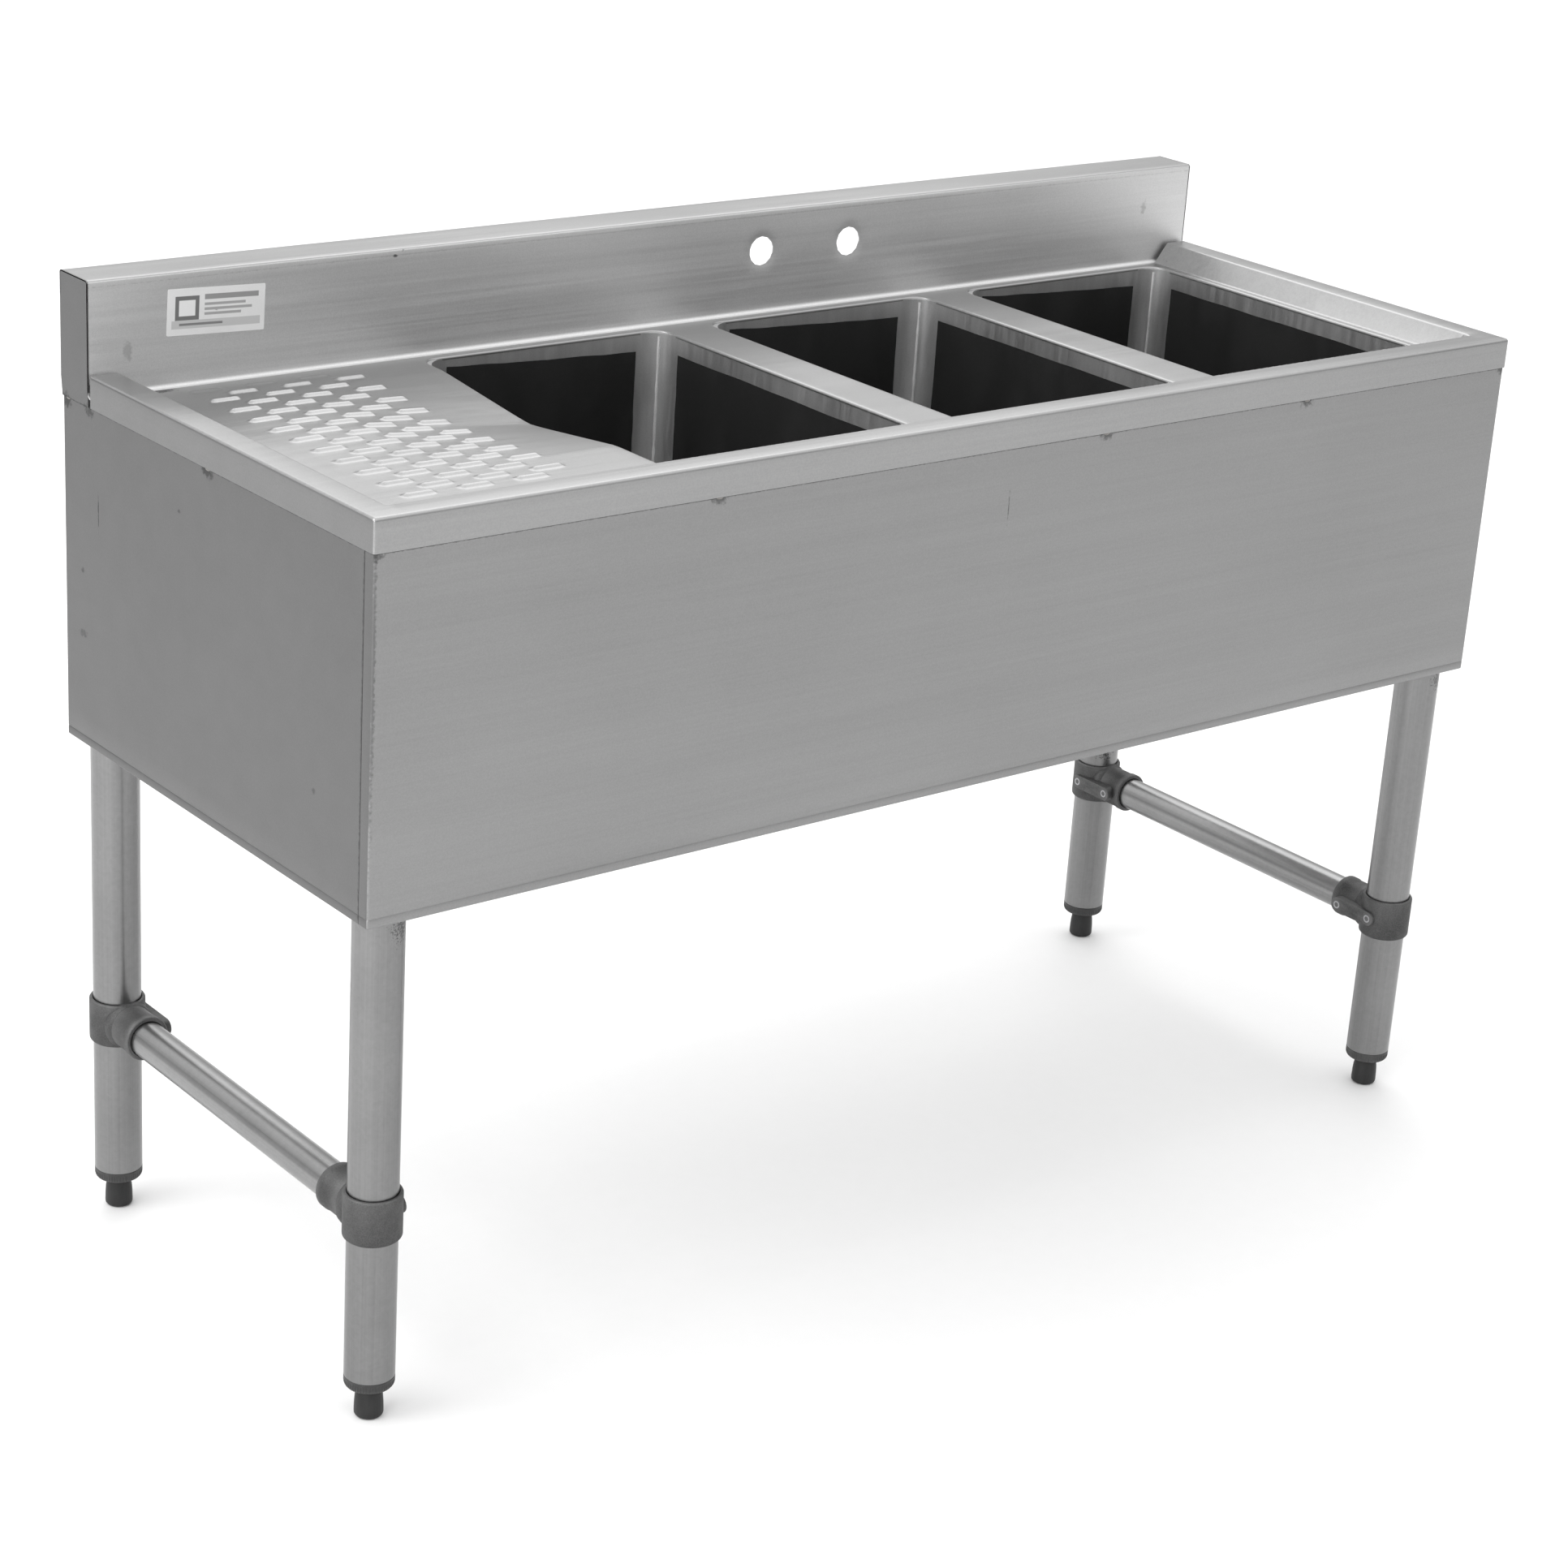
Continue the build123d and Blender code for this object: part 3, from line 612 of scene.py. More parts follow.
def bump(x, y):
    """Height of the raised drip bumps: rows of long rounded ridges, every other row set over by half."""
    row = round((BUMP_FIRST.y - y) / BUMP_PITCH.y)
    if not 0 <= row < BUMP_ROWS:
        return 0.0
    start = BUMP_FIRST.x + (row % 2) * BUMP_PITCH.x / 2
    place = clamp(round((x - start) / BUMP_PITCH.x), 0, BUMPS_IN_ROW - 1)
    dx = abs(x - start - place * BUMP_PITCH.x)
    dy = abs(y - BUMP_FIRST.y + row * BUMP_PITCH.y)
    over = max(0.0, dx - (BUMP_LENGTH - BUMP_WIDTH) / 2)
    near = 1 - hypot(over, dy) / (BUMP_WIDTH / 2)
    faint = 0.55 if row == 0 else 1.0
    return BUMP_HEIGHT * faint * smooth(near)


def inside_field(x, y):
    """1 well inside the sunk deck, 0 at the foot of its rim and at the splash."""
    near = from_edge(x, y) - RIM_FLAT_END
    back = SPLASH_FRONT - FOOT_BEND - y
    return smooth(near / (25 * MM)) * smooth(back / (20 * MM))


def deck_height(x, y):
    """Height of the top sheet's upper face."""
    height = rim_height(from_edge(x, y))
    wavy = 0.35 * MM * wave(x, y, 0.0, 0.21, 3.0) + 0.2 * MM * wave(x, y, 0.5, 0.09, 7.0)
    field = inside_field(x, y)
    crown = 1.3 * MM * smooth(1 - abs(x - LEFT - 105 * MM) / (90 * MM))
    crown *= smooth(1 - abs(y - FRONT - 240 * MM) / (190 * MM))
    calm = smooth((from_bowls(x, y) - 1 * MM) / (14 * MM))
    return height + (wavy + crown) * field * calm - valley(x, y) + bump(x, y)


def opening_edge(number):
    """Where the top sheet turns down into a bowl: points with their outward directions."""
    x0, x1, y0, y1 = BOWLS[number]
    return rounded_rectangle(x0, x1, y0, y1, OPENING_CORNER, arc=8, sides=(24, 34))


def deck_skin():
    """The pressed top sheet: sunk deck, rim on three sides, skirt, bumps, crease and rolled openings."""
    inset = OUTER_BEND
    levels = [p.x for p in RIM_PROFILE if inset + 0.2 * MM < p.x < RIM_FLAT_END - 0.1 * MM]
    back = SPLASH_FRONT - FOOT_BEND
    xs = spread(LEFT + inset, RIGHT - inset, 150)
    outline = [Vector((x, FRONT + inset)) for x in xs]
    outline += [Vector((RIGHT - inset, y)) for y in spread(FRONT + inset, back, 60)[1:]]
    outline += [Vector((x, back)) for x in reversed(xs[:-1])]
    outline += [Vector((LEFT + inset, y)) for y in spread(back, FRONT + inset, 60)[1:-1]]
    groups = [(outline, True)]
    for number in BOWLS:
        groups.append(([p + way * OPENING_ROLL for p, way in opening_edge(number)], True))
    loose = []
    for x0, x1, y0, y1 in BOWLS.values():
        for margin in (4 * MM, 8 * MM):
            loop = rounded_rectangle(x0, x1, y0, y1, OPENING_CORNER, arc=6, sides=(24, 34))
            ring = [p + way * (OPENING_ROLL + margin) for p, way in loop]
            loose.extend(p for p in ring if from_edge(p.x, p.y) > RIM_FLAT_END + 1.5 * MM)
    for level in levels + [RIM_FLAT_END]:
        ends = (LEFT + level, RIGHT - level)
        loose.extend(Vector((x, FRONT + level)) for x in spread(*ends, 140))
        for y in spread(FRONT + level, back, 56)[1:]:
            loose.extend(Vector((x, y)) for x in ends)
    field = RIM_FLAT_END + 3 * MM
    fine_end = BOWLS[1][0] - 12 * MM
    for x in spread(LEFT + field, fine_end, 156):
        loose.extend(Vector((x, y)) for y in spread(FRONT + field, back - 3 * MM, 264))
    for x in spread(fine_end + 8 * MM, RIGHT - field, 110):
        for y in spread(FRONT + field, back - 3 * MM, 48):
            if from_bowls(x, y) > 12 * MM:
                loose.append(Vector((x, y)))
    groups.append((loose, False))
    points, faces = triangulated(groups, lambda p: not any(in_opening(p, number) for number in BOWLS))
    verts = [Vector((p.x, p.y, deck_height(p.x, p.y))) for p in points]
    top = make_object("deck_skin", verts, faces)
    strips = [skirt_strip(xs)] + [opening_strip(number) for number in BOWLS]
    return clean(join(top, strips), weld=0.02 * MM, up=Vector((0, 0, 1)))


def in_opening(point, number):
    """Whether a point of the deck lies over a bowl's rolled opening."""
    x0, x1, y0, y1 = BOWLS[number]
    grow = OPENING_ROLL - 0.05 * MM
    radius = OPENING_CORNER
    dx = max(x0 + radius - point.x, point.x - x1 + radius, 0.0)
    dy = max(y0 + radius - point.y, point.y - y1 + radius, 0.0)
    return hypot(dx, dy) < radius + grow


def join(main, others):
    """Adds the faces of other mesh objects to main, and removes them."""
    bm = bmesh.new()
    bm.from_mesh(main.data)
    for other in others:
        bm.from_mesh(other.data)
        mesh = other.data
        bpy.data.objects.remove(other)
        bpy.data.meshes.remove(mesh)
    bm.to_mesh(main.data)
    bm.free()
    return main


def skirt_strip(xs):
    """The rim's outer bend and skirt, along the left, front and right edges."""
    ys = spread(SPLASH_FRONT - FOOT_BEND, FRONT + OUTER_BEND, 60)
    path = [(Vector((LEFT + OUTER_BEND, y)), Vector((-1, 0))) for y in ys]
    path += [(Vector((x, FRONT + OUTER_BEND)), Vector((0, -1))) for x in xs]
    ys = spread(FRONT + OUTER_BEND, SPLASH_FRONT - FOOT_BEND, 60)
    path += [(Vector((RIGHT - OUTER_BEND, y)), Vector((1, 0))) for y in ys]
    line = []
    for (p, way), (_, after) in zip(path, path[1:]):
        line.append((p, way))
        if way != after:
            line.extend((p, way * c + after * s) for s, c in quarter(6)[1:-1])
    line.append(path[-1])
    rows = [(OUTER_BEND * s, RIM_TOP - OUTER_BEND * (1 - c)) for s, c in quarter(6)]
    rows += [(OUTER_BEND, z) for z in spread(RIM_TOP - OUTER_BEND, SKIRT_BOTTOM, 4)[1:]]
    verts = []
    for out, z in rows:
        for p, way in line:
            low = 0.12 * MM * wave(p.x, p.y, 2.0, 0.05, 4.0) * (z < SKIRT_BOTTOM + 1 * MM)
            verts.append((p.x + way.x * out, p.y + way.y * out, z + abs(low)))
    return make_object("skirt", verts, grid_faces(len(rows), len(line)))


def opening_strip(number):
    """The rolled edge of an opening, and the short wall below it."""
    edge = opening_edge(number)
    rows = [(OPENING_ROLL * (1 - s), OPENING_ROLL * (1 - c)) for s, c in quarter(5)]
    rows.append((0.0, OPENING_ROLL + OPENING_TURN_DOWN))
    verts = []
    for out, down in rows:
        for p, way in edge:
            q = p + way * OPENING_ROLL
            at = p + way * out
            verts.append((at.x, at.y, deck_height(q.x, q.y) - down))
    return make_object("opening", verts, grid_faces(len(rows), len(edge), close=True))


# --- Pieces: backsplash ---


def faucet_holes():
    """Centres and radius of the two faucet holes in the splash face."""
    mount = next(m for m in frame["record"]["mounts"] if m["name"] == "faucet_holes")
    x, _, z = mount["pos_m"]
    reach = mount["dims"]["spacing_x_mm"] * MM / 2
    radius = mount["dims"]["hole_r_mm"] * MM
    return (Vector((x - reach, z)), Vector((x + reach, z))), radius


def splash_skin():
    """The backsplash: cove at the deck, upright face with two holes, rolled top and a lip behind."""
    centres, radius = faucet_holes()
    bend = 2.5 * MM
    low = DECK_TOP + FOOT_BEND
    high = TOP - bend
    xs = spread(LEFT, RIGHT, 120)
    outline = [Vector((x, low)) for x in xs]
    outline += [Vector((RIGHT, z)) for z in spread(low, high, 12)[1:]]
    outline += [Vector((x, high)) for x in reversed(xs[:-1])]
    outline += [Vector((LEFT, z)) for z in spread(high, low, 12)[1:-1]]
    groups = [(outline, True)]
    for centre in centres:
        for margin in (0.0, 1.2 * MM, 4 * MM):
            angles = spread(0, 2 * pi, 64)[:-1]
            loop = [centre + Vector((cos(a), sin(a))) * (radius + margin) for a in angles]
            groups.append((loop, margin == 0.0))
    field = []
    for x in spread(LEFT + 5 * MM, RIGHT - 5 * MM, 150):
        for z in spread(low + 4 * MM, high - 4 * MM, 12):
            here = Vector((x, z))
            if all((here - c).length > radius + 7 * MM for c in centres):
                field.append(here)
    groups.append((field, False))
    points, faces = triangulated(groups, lambda p: all((p - c).length > radius - 0.3 * MM for c in centres))
    verts = []
    for p in points:
        near = min((p - c).length - radius for c in centres)
        swell = smooth(min(p.x - LEFT, RIGHT - p.x) / (40 * MM))
        swell *= smooth((p.y - low) / (15 * MM)) * smooth((high - p.y) / (15 * MM))
        wavy = 0.45 * MM * abs(wave(p.x, p.y, 1.0, 0.16, 2.0)) * swell
        dimple = 0.5 * MM * smooth(1 - near / (4 * MM))
        verts.append(Vector((p.x, SPLASH_FRONT + wavy + dimple, p.y)))
    face = make_object("splash_skin", verts, faces)
    rows = [(SPLASH_FRONT - FOOT_BEND * (1 - s), DECK_TOP + FOOT_BEND * (1 - c)) for s, c in quarter(6)]
    cove = [(x, y, z) for y, z in rows for x in xs]
    low_strip = make_object("cove", cove, grid_faces(len(rows), len(xs)))
    rows = [(SPLASH_FRONT + bend * (1 - c), high + bend * s) for s, c in quarter(6)]
    rows += [(y, TOP) for y in spread(SPLASH_FRONT + bend, BACK - bend, 6)[1:]]
    rows += [(BACK - bend * (1 - s), TOP - bend * (1 - c)) for s, c in quarter(6)[1:]]
    rows += [(BACK, z) for z in spread(TOP - bend, TOP - 20 * MM, 3)[1:]]
    crown = []
    for y, z in rows:
        for x in xs:
            sag = 0.25 * MM * abs(wave(x, 0.0, 4.0, 0.12, 9.0)) * (z > TOP - 0.1 * MM)
            crown.append((x, y, z - sag))
    top_strip = make_object("crown", crown, grid_faces(len(rows), len(xs)))
    return clean(join(face, [low_strip, top_strip]), weld=0.02 * MM)


# --- Pieces: aprons, bowls, films ---


def sheet_along(name, path, profile, ripple=0.0):
    """A bent sheet: profile is (outward, height) from top to bottom, path is (point, outward way)."""
    verts = []
    for out, z in profile:
        for p, way in path:
            off = ripple * wave(p.x, p.y, z, 0.17, 5.0)
            verts.append((p.x + way.x * (out - abs(off)), p.y + way.y * (out - abs(off)), z))
    return make_object(name, verts, grid_faces(len(profile), len(path)))


def corner_path(points, bend, steps=6, longest=12 * MM):
    """Points along a bent line in plan with the way that its outer face looks, to the right of travel."""
    line = rounded_line(points, [bend] * (len(points) - 2), steps)
    line = divided(line, longest)
    path = []
    for index, p in enumerate(line):
        before = line[max(0, index - 1)]
        after = line[min(len(line) - 1, index + 1)]
        along = (after - before).normalized()
        path.append((p, Vector((along.y, -along.x))))
    return path


def apron(name, node, points, bend):
    """An apron panel with its bottom edge hemmed inward."""
    low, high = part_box(node)
    bottom = low.z
    profile = [Vector((0, z)) for z in spread(high.z, bottom + 8.6 * MM, 18)]
    profile += [Vector((-0.35 * MM, bottom + 7.8 * MM)), Vector((0, bottom + 7.0 * MM))]
    hem = rounded_line(((0, bottom + 7.0 * MM), (0, bottom), (-7.5 * MM, bottom)), (1.6 * MM,), 5)
    profile += hem[1:]
    obj = sheet_along(name, corner_path(points, bend), [(p.x, p.y) for p in profile], ripple=0.3 * MM)
    return thicken(clean(obj))


def bowl(number):
    """A deep drawn bowl: lip under the deck, upright walls, coved corners and a round drain hole."""
    x0, x1, y0, y1 = BOWLS[number]
    drain = Vector(((x0 + x1) / 2, (y0 + y1) / 2))
    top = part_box(f"bowl_{number}")[1].z
    floor = BOWL_FLOOR
    base = 28 * MM

    def loop(inset, corner):
        edge = rounded_rectangle(x0 + inset, x1 - inset, y0 + inset, y1 - inset, corner, 12, (16, 22))
        return [p for p, _ in edge]

    def seat(p):
        """Height of the deck's underside above a point of the bowl's rim."""
        return min(top, deck_height(p.x, p.y) - SHEET - 0.25 * MM)

    lip, wall = loop(-LIP, OPENING_CORNER + LIP), loop(-BEHIND, BOWL_COVE)
    rows = [[(p.x, p.y, seat(p)) for p in lip], [(p.x, p.y, seat(p)) for p in wall]]
    foot = floor + base + 2 * MM
    for share in spread(0.0, 1.0, 16):
        rows.append([(p.x, p.y, (seat(p) - 1.6 * MM) * (1 - share) + foot * share) for p in wall])
    for s, c in quarter(8)[1:]:
        z = floor + base * (1 - s) + 2 * MM
        ring = loop(base * (1 - c) - BEHIND, BOWL_COVE)
        rows.append([(p.x, p.y, z) for p in ring])
    hole = DRAIN_HOLE + 0.4 * MM
    for share in spread(0.0, 1.0, 8)[1:]:
        z = floor + 2 * MM * (1 - smooth(share * 1.1))
        row = [p.lerp(drain + (p - drain).normalized() * hole, share) for p in ring]
        rows.append([(p.x, p.y, z) for p in row])
    verts = [point for row in rows for point in row]
    obj = make_object(f"bowl_{number}_skin", verts, grid_faces(len(rows), len(lip), close=True))
    return thicken(clean(obj, up=Vector((0, 0, 1))), SHEET * 0.8)


def weld_bead(number, corner):
    """The thin ground weld line down the middle of a bowl's upright cove."""
    x0, x1, y0, y1 = BOWLS[number]
    sx, sy = corner
    cx = (x1 if sx > 0 else x0) - sx * BOWL_COVE
    cy = (y1 if sy > 0 else y0) - sy * BOWL_COVE
    _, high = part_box(f"bowl_{number}")
    way = Vector((sx, sy)).normalized()
    side = Vector((-way.y, way.x))
    verts = []
    rows = spread(high.z - 3 * MM, BOWL_FLOOR + 34 * MM, 60)
    arch = ((-1.5, 0.25), (-0.8, -0.1), (0.0, -0.2), (0.8, -0.1), (1.5, 0.25))
    for z in rows:
        half = (0.8 + 0.25 * wave(z, 0, number, 0.006, 3.0)) * MM
        for across, out in arch:
            p = Vector((cx, cy)) + way * (BOWL_COVE + out * MM) + side * across * half
            verts.append((p.x, p.y, z))
    return make_object(f"weld_{number}", verts, grid_faces(len(rows), len(arch)))


def film(number):
    """The protective film still stuck on a bowl's walls: one torn-edged sheet on each flat wall."""
    x0, x1, y0, y1 = BOWLS[number]
    low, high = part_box("bowl_films")
    walls = (
        ((x0, y0 + BOWL_COVE), (x0, y1 - BOWL_COVE), (1, 0)),
        ((x1, y1 - BOWL_COVE), (x1, y0 + BOWL_COVE), (-1, 0)),
        ((x1 - BOWL_COVE, y0), (x0 + BOWL_COVE, y0), (0, 1)),
        ((x0 + BOWL_COVE, y1), (x1 - BOWL_COVE, y1), (0, -1)),
    )
    columns = spread(0.0, 1.0, 40)
    rows = spread(0.0, 1.0, 30)
    parts = []
    for index, wall in enumerate(walls):
        a, b, way = (Vector(value) for value in wall)
        verts = []
        for v in rows:
            for u in columns:
                inset = (0.8 + 0.7 * wave(v, index, number, 0.11, 8.0)) * MM
                length = (b - a).length
                p = a.lerp(b, clamp(u, inset / length, 1 - inset / length))
                top = high.z - (0.9 + 0.8 * wave(u, index, number, 0.16, 6.0)) * MM
                top += 9 * MM * (1 - u) ** 1.3 * (index == 3)
                z = top + (low.z - top) * v
                lift = 0.12 * MM + 0.1 * MM * abs(wave(u, v, number + index, 0.1, 1.0))
                q = p + way * lift
                verts.append((q.x, q.y, z))
        parts.append(make_object(f"film_{number}_{index}", verts, grid_faces(len(rows), len(columns))))
    whole = join(parts[0], parts[1:])
    modifier = whole.modifiers.new("film", "SOLIDIFY")
    modifier.thickness = 0.1 * MM
    modifier.offset = 0
    apply_modifiers(whole)
    whole.name = f"bowl_{number}_film"
    return clean(whole, weld=0.01 * MM)


# --- Pieces: under-frame ---


def middle_of(low, high):
    return (low + high) / 2


def tube_skin(name, node, axis):
    """A welded tube with slightly rounded ends."""
    low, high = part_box(node)
    centre = middle_of(low, high)
    radius = (high.x - low.x) / 2
    wall = 1.5 * MM
    if axis == "Z":
        start, end = low.z, high.z
        base = (centre.x, centre.y, 0.0)
    else:
        start, end = low.y, high.y
        base = (centre.x, 0.0, centre.z)
    soft = 0.3 * MM
    profile = [(radius - soft, start), (radius, start + soft)]
    profile += [(radius, t) for t in spread(start + soft, end - soft, 16)[1:]]
    profile += [(radius - soft, end), (radius - wall + soft, end), (radius - wall, end - soft)]
    profile += [(radius - wall, start + soft), (radius - wall + soft, start)]
    return flat_uv(revolved(name, profile, base, 72, axis), base, axis)


def tee_places(place):
    """A tee's leg in plan, its height, the ways to its brace and its boss, and how far those reach."""
    low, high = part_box(f"tee_{place}")
    leg = middle_of(*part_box(f"leg_{place}"))
    along = 1 if leg.y < 0 else -1
    toward = -1 if leg.x > 0 else 1
    face = (high.x - leg.x) if toward > 0 else (leg.x - low.x)
    reach = max(high.y - leg.y, leg.y - low.y)
    return leg, (low.z + high.z) / 2, along, toward, face, reach


def tee_skin(place):
    """A cast tee: collar on the leg, branch for the brace, and a flat boss for the two screws."""
    low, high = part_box(f"tee_{place}")
    leg_low, leg_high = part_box(f"leg_{place}")
    leg, height, along, *_, reach = tee_places(place)
    centre = (leg.x, leg.y, height)
    half = (high.z - low.z) / 2
    collar = 24 * MM
    inner = (leg_high.x - leg_low.x) / 2 + 0.25 * MM
    bend = 3.2 * MM
    profile = [(inner + 0.4 * MM, -half), (collar - bend, -half)]
    profile += [(collar - bend * (1 - s), -half + bend * (1 - c)) for s, c in quarter(6)[1:-1]]
    profile += [(collar, -half + 3.4 * MM), (collar, half - 1.6 * MM), (collar - 0.7 * MM, half - 0.3 * MM)]
    profile += [(collar - 1.6 * MM, half), (inner + 0.5 * MM, half), (inner, half - 0.6 * MM)]
    profile += [(inner, -half + 0.6 * MM)]
    main = revolved(f"tee_{place}_casting", profile, centre, 80)
    bore = 16.1 * MM
    branch = 20 * MM
    arm = [(bore, 10 * MM), (branch * 0.96, 10 * MM), (branch * 0.96, reach - 9 * MM)]
    arm += [(branch, reach - 7 * MM), (branch, reach - 1.4 * MM), (branch - 0.8 * MM, reach - 0.2 * MM)]
    arm += [(branch - 1.6 * MM, reach), (bore + 0.5 * MM, reach), (bore, reach - 0.6 * MM)]
    arm = [(radius, along * run) for radius, run in arm]
    neck = []
    for step in range(13):
        angle = radians(180 * step / 12)
        radius = max(21.4 * MM * sin(angle) ** 0.7, 0.5 * MM)
        neck.append((radius, along * (19 * MM - 12 * MM * cos(angle))))
    pieces = [revolved("arm", arm, centre, 72, "Y"), revolved("neck", neck, centre, 64, "Y"), boss(place)]
    return join(main, pieces)


def boss(place):
    """The raised slot-shaped pad for the two screws on a tee's inner side."""
    leg, height, along, toward, face, reach = tee_places(place)
    radius = 7.2 * MM
    runs = (0.0, reach - 14 * MM)
    outline = []
    for centre, start in ((runs[1], -90), (runs[0], 90)):
        for step in range(17):
            angle = radians(start + 180 * step / 16)
            outline.append(Vector((centre + radius * cos(angle), radius * sin(angle))))
    middle = Vector(((runs[0] + runs[1]) / 2, 0.0))
    verts = []
    rows = ((0.5, 1.0), (0.9, 1.0), (0.975, 0.985), (1.0, 0.94), (1.0, 0.02))
    for depth, size in rows:
        for p in outline:
            spoke = (p - middle).normalized()
            q = p - spoke * radius * (1 - size) if size > 0.1 else middle + (p - middle) * size
            verts.append((leg.x + toward * face * depth, leg.y + along * q.x, height + q.y))
    return clean(make_object("boss", verts, grid_faces(len(rows), len(outline), close=True)))


def screw_skins():
    """The tees' set screws: a chamfered ring with a dark hexagon socket, two on each boss."""
    screws = []
    for place in PLACES:
        leg, height, along, toward, face, reach = tee_places(place)
        for run in (0.0, reach - 14 * MM):
            centre = Vector((leg.x + toward * face, leg.y + along * run, height))
            screws.append(screw_skin(centre, toward))
    whole = join(screws[0], screws[1:])
    whole.name = "tee_screw_heads"
    return clean(whole, weld=0.002 * MM)


def screw_skin(centre, toward):
    """One set screw that stands a little out of its boss, facing along X."""
    rows = ((4.0, -3.0, 0), (4.0, -0.2, 0), (3.7, 0.15, 0), (2.7, 0.15, 0), (2.35, -0.1, 1))
    rows += ((2.35, -2.0, 1), (0.02, -2.3, 0))
    verts = []
    for radius, out, hexagon in rows:
        for step in range(36):
            angle = 2 * pi * step / 36
            r = radius
            if hexagon:
                r = radius * cos(pi / 6) / cos((angle % (pi / 3)) - pi / 6)
            x = centre.x + toward * out * MM
            verts.append((x, centre.y + r * MM * cos(angle), centre.z + r * MM * sin(angle)))
    return make_object("screw", verts, grid_faces(len(rows), 36, close=True))


def insert_skin(place):
    """The ribbed plastic cap that closes the foot of a leg, with its plug inside the tube."""
    low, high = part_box(f"foot_insert_{place}")
    leg_low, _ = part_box(f"leg_{place}")
    centre = middle_of(low, high)
    cap = leg_low.z - low.z
    plug = high.z - low.z
    radius = (high.x - low.x) / 2
    hole = 6.6 * MM
    profile = [(hole, 0.0, 0), (12.5 * MM, 0.0, 0), (14.5 * MM, 0.5 * MM, 0.3)]
    for s, c in quarter(6)[1:]:
        profile.append((radius - 5 * MM * (1 - s), 0.6 * MM + 5 * MM * (1 - c), 1.0))
    profile += [(radius, cap - 2.6 * MM, 1.0), (radius, cap - 2.2 * MM, 0.0), (radius, cap - 0.4 * MM, 0)]
    profile += [(radius - 0.4 * MM, cap, 0), (19.1 * MM, cap, 0), (19.0 * MM, cap + 1 * MM, 0)]
    profile += [(18.8 * MM, plug - 1 * MM, 0), (18.0 * MM, plug, 0), (hole, plug, 0)]
    name = f"foot_insert_{place}_skin"
    return revolved(name, profile, (centre.x, centre.y, low.z), 216, ribs=54, depth=0.5 * MM)


def foot_skin(place):
    """The turning foot: a short neck, a slightly flared body and a rounded sole."""
    low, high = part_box(f"foot_{place}")
    centre = middle_of(low, high)
    radius = (high.x - low.x) / 2
    tall = high.z - low.z
    hole = 6.45 * MM
    profile = [(hole, 8 * MM, 0), (0.3 * MM, 8 * MM, 0), (0.3 * MM, 0, 0), (radius - 4.5 * MM, 0, 0)]
    for s, c in quarter(6)[1:-1]:
        profile.append((radius - 3.5 * MM * (1 - s), 3.5 * MM * (1 - c), 0.2))
    profile += [(radius, 4.2 * MM, 0.2), (radius - 0.2 * MM, tall * 0.45, 0.2)]
    profile += [(radius - 0.7 * MM, tall * 0.7, 0.2), (radius - 1.1 * MM, tall * 0.74, 0)]
    profile += [(radius - 1.1 * MM, tall - 1 * MM, 0), (radius - 1.6 * MM, tall - 0.2 * MM, 0)]
    profile += [(radius - 2 * MM, tall, 0), (hole, tall, 0)]
    name = f"foot_{place}_skin"
    return revolved(name, profile, (centre.x, centre.y, low.z), 144, ribs=24, depth=0.3 * MM)


def label_sheet():
    """The maker's label: a thin sticker with rounded corners, stuck on a little crooked."""
    low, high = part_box("maker_label")
    centre = middle_of(low, high)
    half_x, half_z = 45.2 * MM, 19.4 * MM
    edge = rounded_rectangle(-half_x, half_x, -half_z, half_z, 1.2 * MM, arc=5, sides=(6, 12))
    rows = ((0.0, 0.0), (0.12, 0.0), (0.2, 0.06), (0.2, 1.0))
    verts = []
    for out, inset in rows:
        for p, way in edge:
            q = p - way * inset * MM if inset < 1 else p * 0.02
            x = q.x * cos(LABEL_TILT) + q.y * sin(LABEL_TILT)
            z = q.y * cos(LABEL_TILT) - q.x * sin(LABEL_TILT)
            verts.append((centre.x + x, high.y - out * MM, centre.z + z))
    return clean(make_object("maker_label_sheet", verts, grid_faces(len(rows), len(edge), close=True)))


def tack_beads():
    """Small uneven weld beads where the aprons meet the skirt."""
    spots = []
    for x in FRONT_TACKS:
        spots.append((Vector((LEFT + x * MM, FRONT + 0.2 * MM)), Vector((0, -1))))
    for sign in (-1, 1):
        side = RIGHT if sign > 0 else LEFT
        for y in (240.0, 466.0):
            spots.append((Vector((side - sign * 0.2 * MM, FRONT + y * MM)), Vector((sign, 0))))
    beads = []
    for index, (spot, way) in enumerate(spots):
        across = Vector((-way.y, way.x))
        verts = []
        for row in range(9):
            turn = pi * row / 8
            for column in range(17):
                sweep = pi * column / 16
                lump = 1 + 0.16 * wave(row, column, index, 2.7, 1.0)
                u = 3.3 * MM * cos(turn) * lump
                out = 1.0 * MM * sin(turn) * sin(sweep)
                z = 1.5 * MM * sin(turn) * cos(sweep) * lump
                p = spot + across * u - way * 1.2 * MM + way * out
                verts.append((p.x, p.y, SKIRT_BOTTOM - 0.6 * MM + z))
        beads.append(clean(make_object("bead", verts, grid_faces(9, 17))))
    whole = join(beads[0], beads[1:])
    whole.name = "tack_beads"
    return whole


# --- Materials of this sink ---


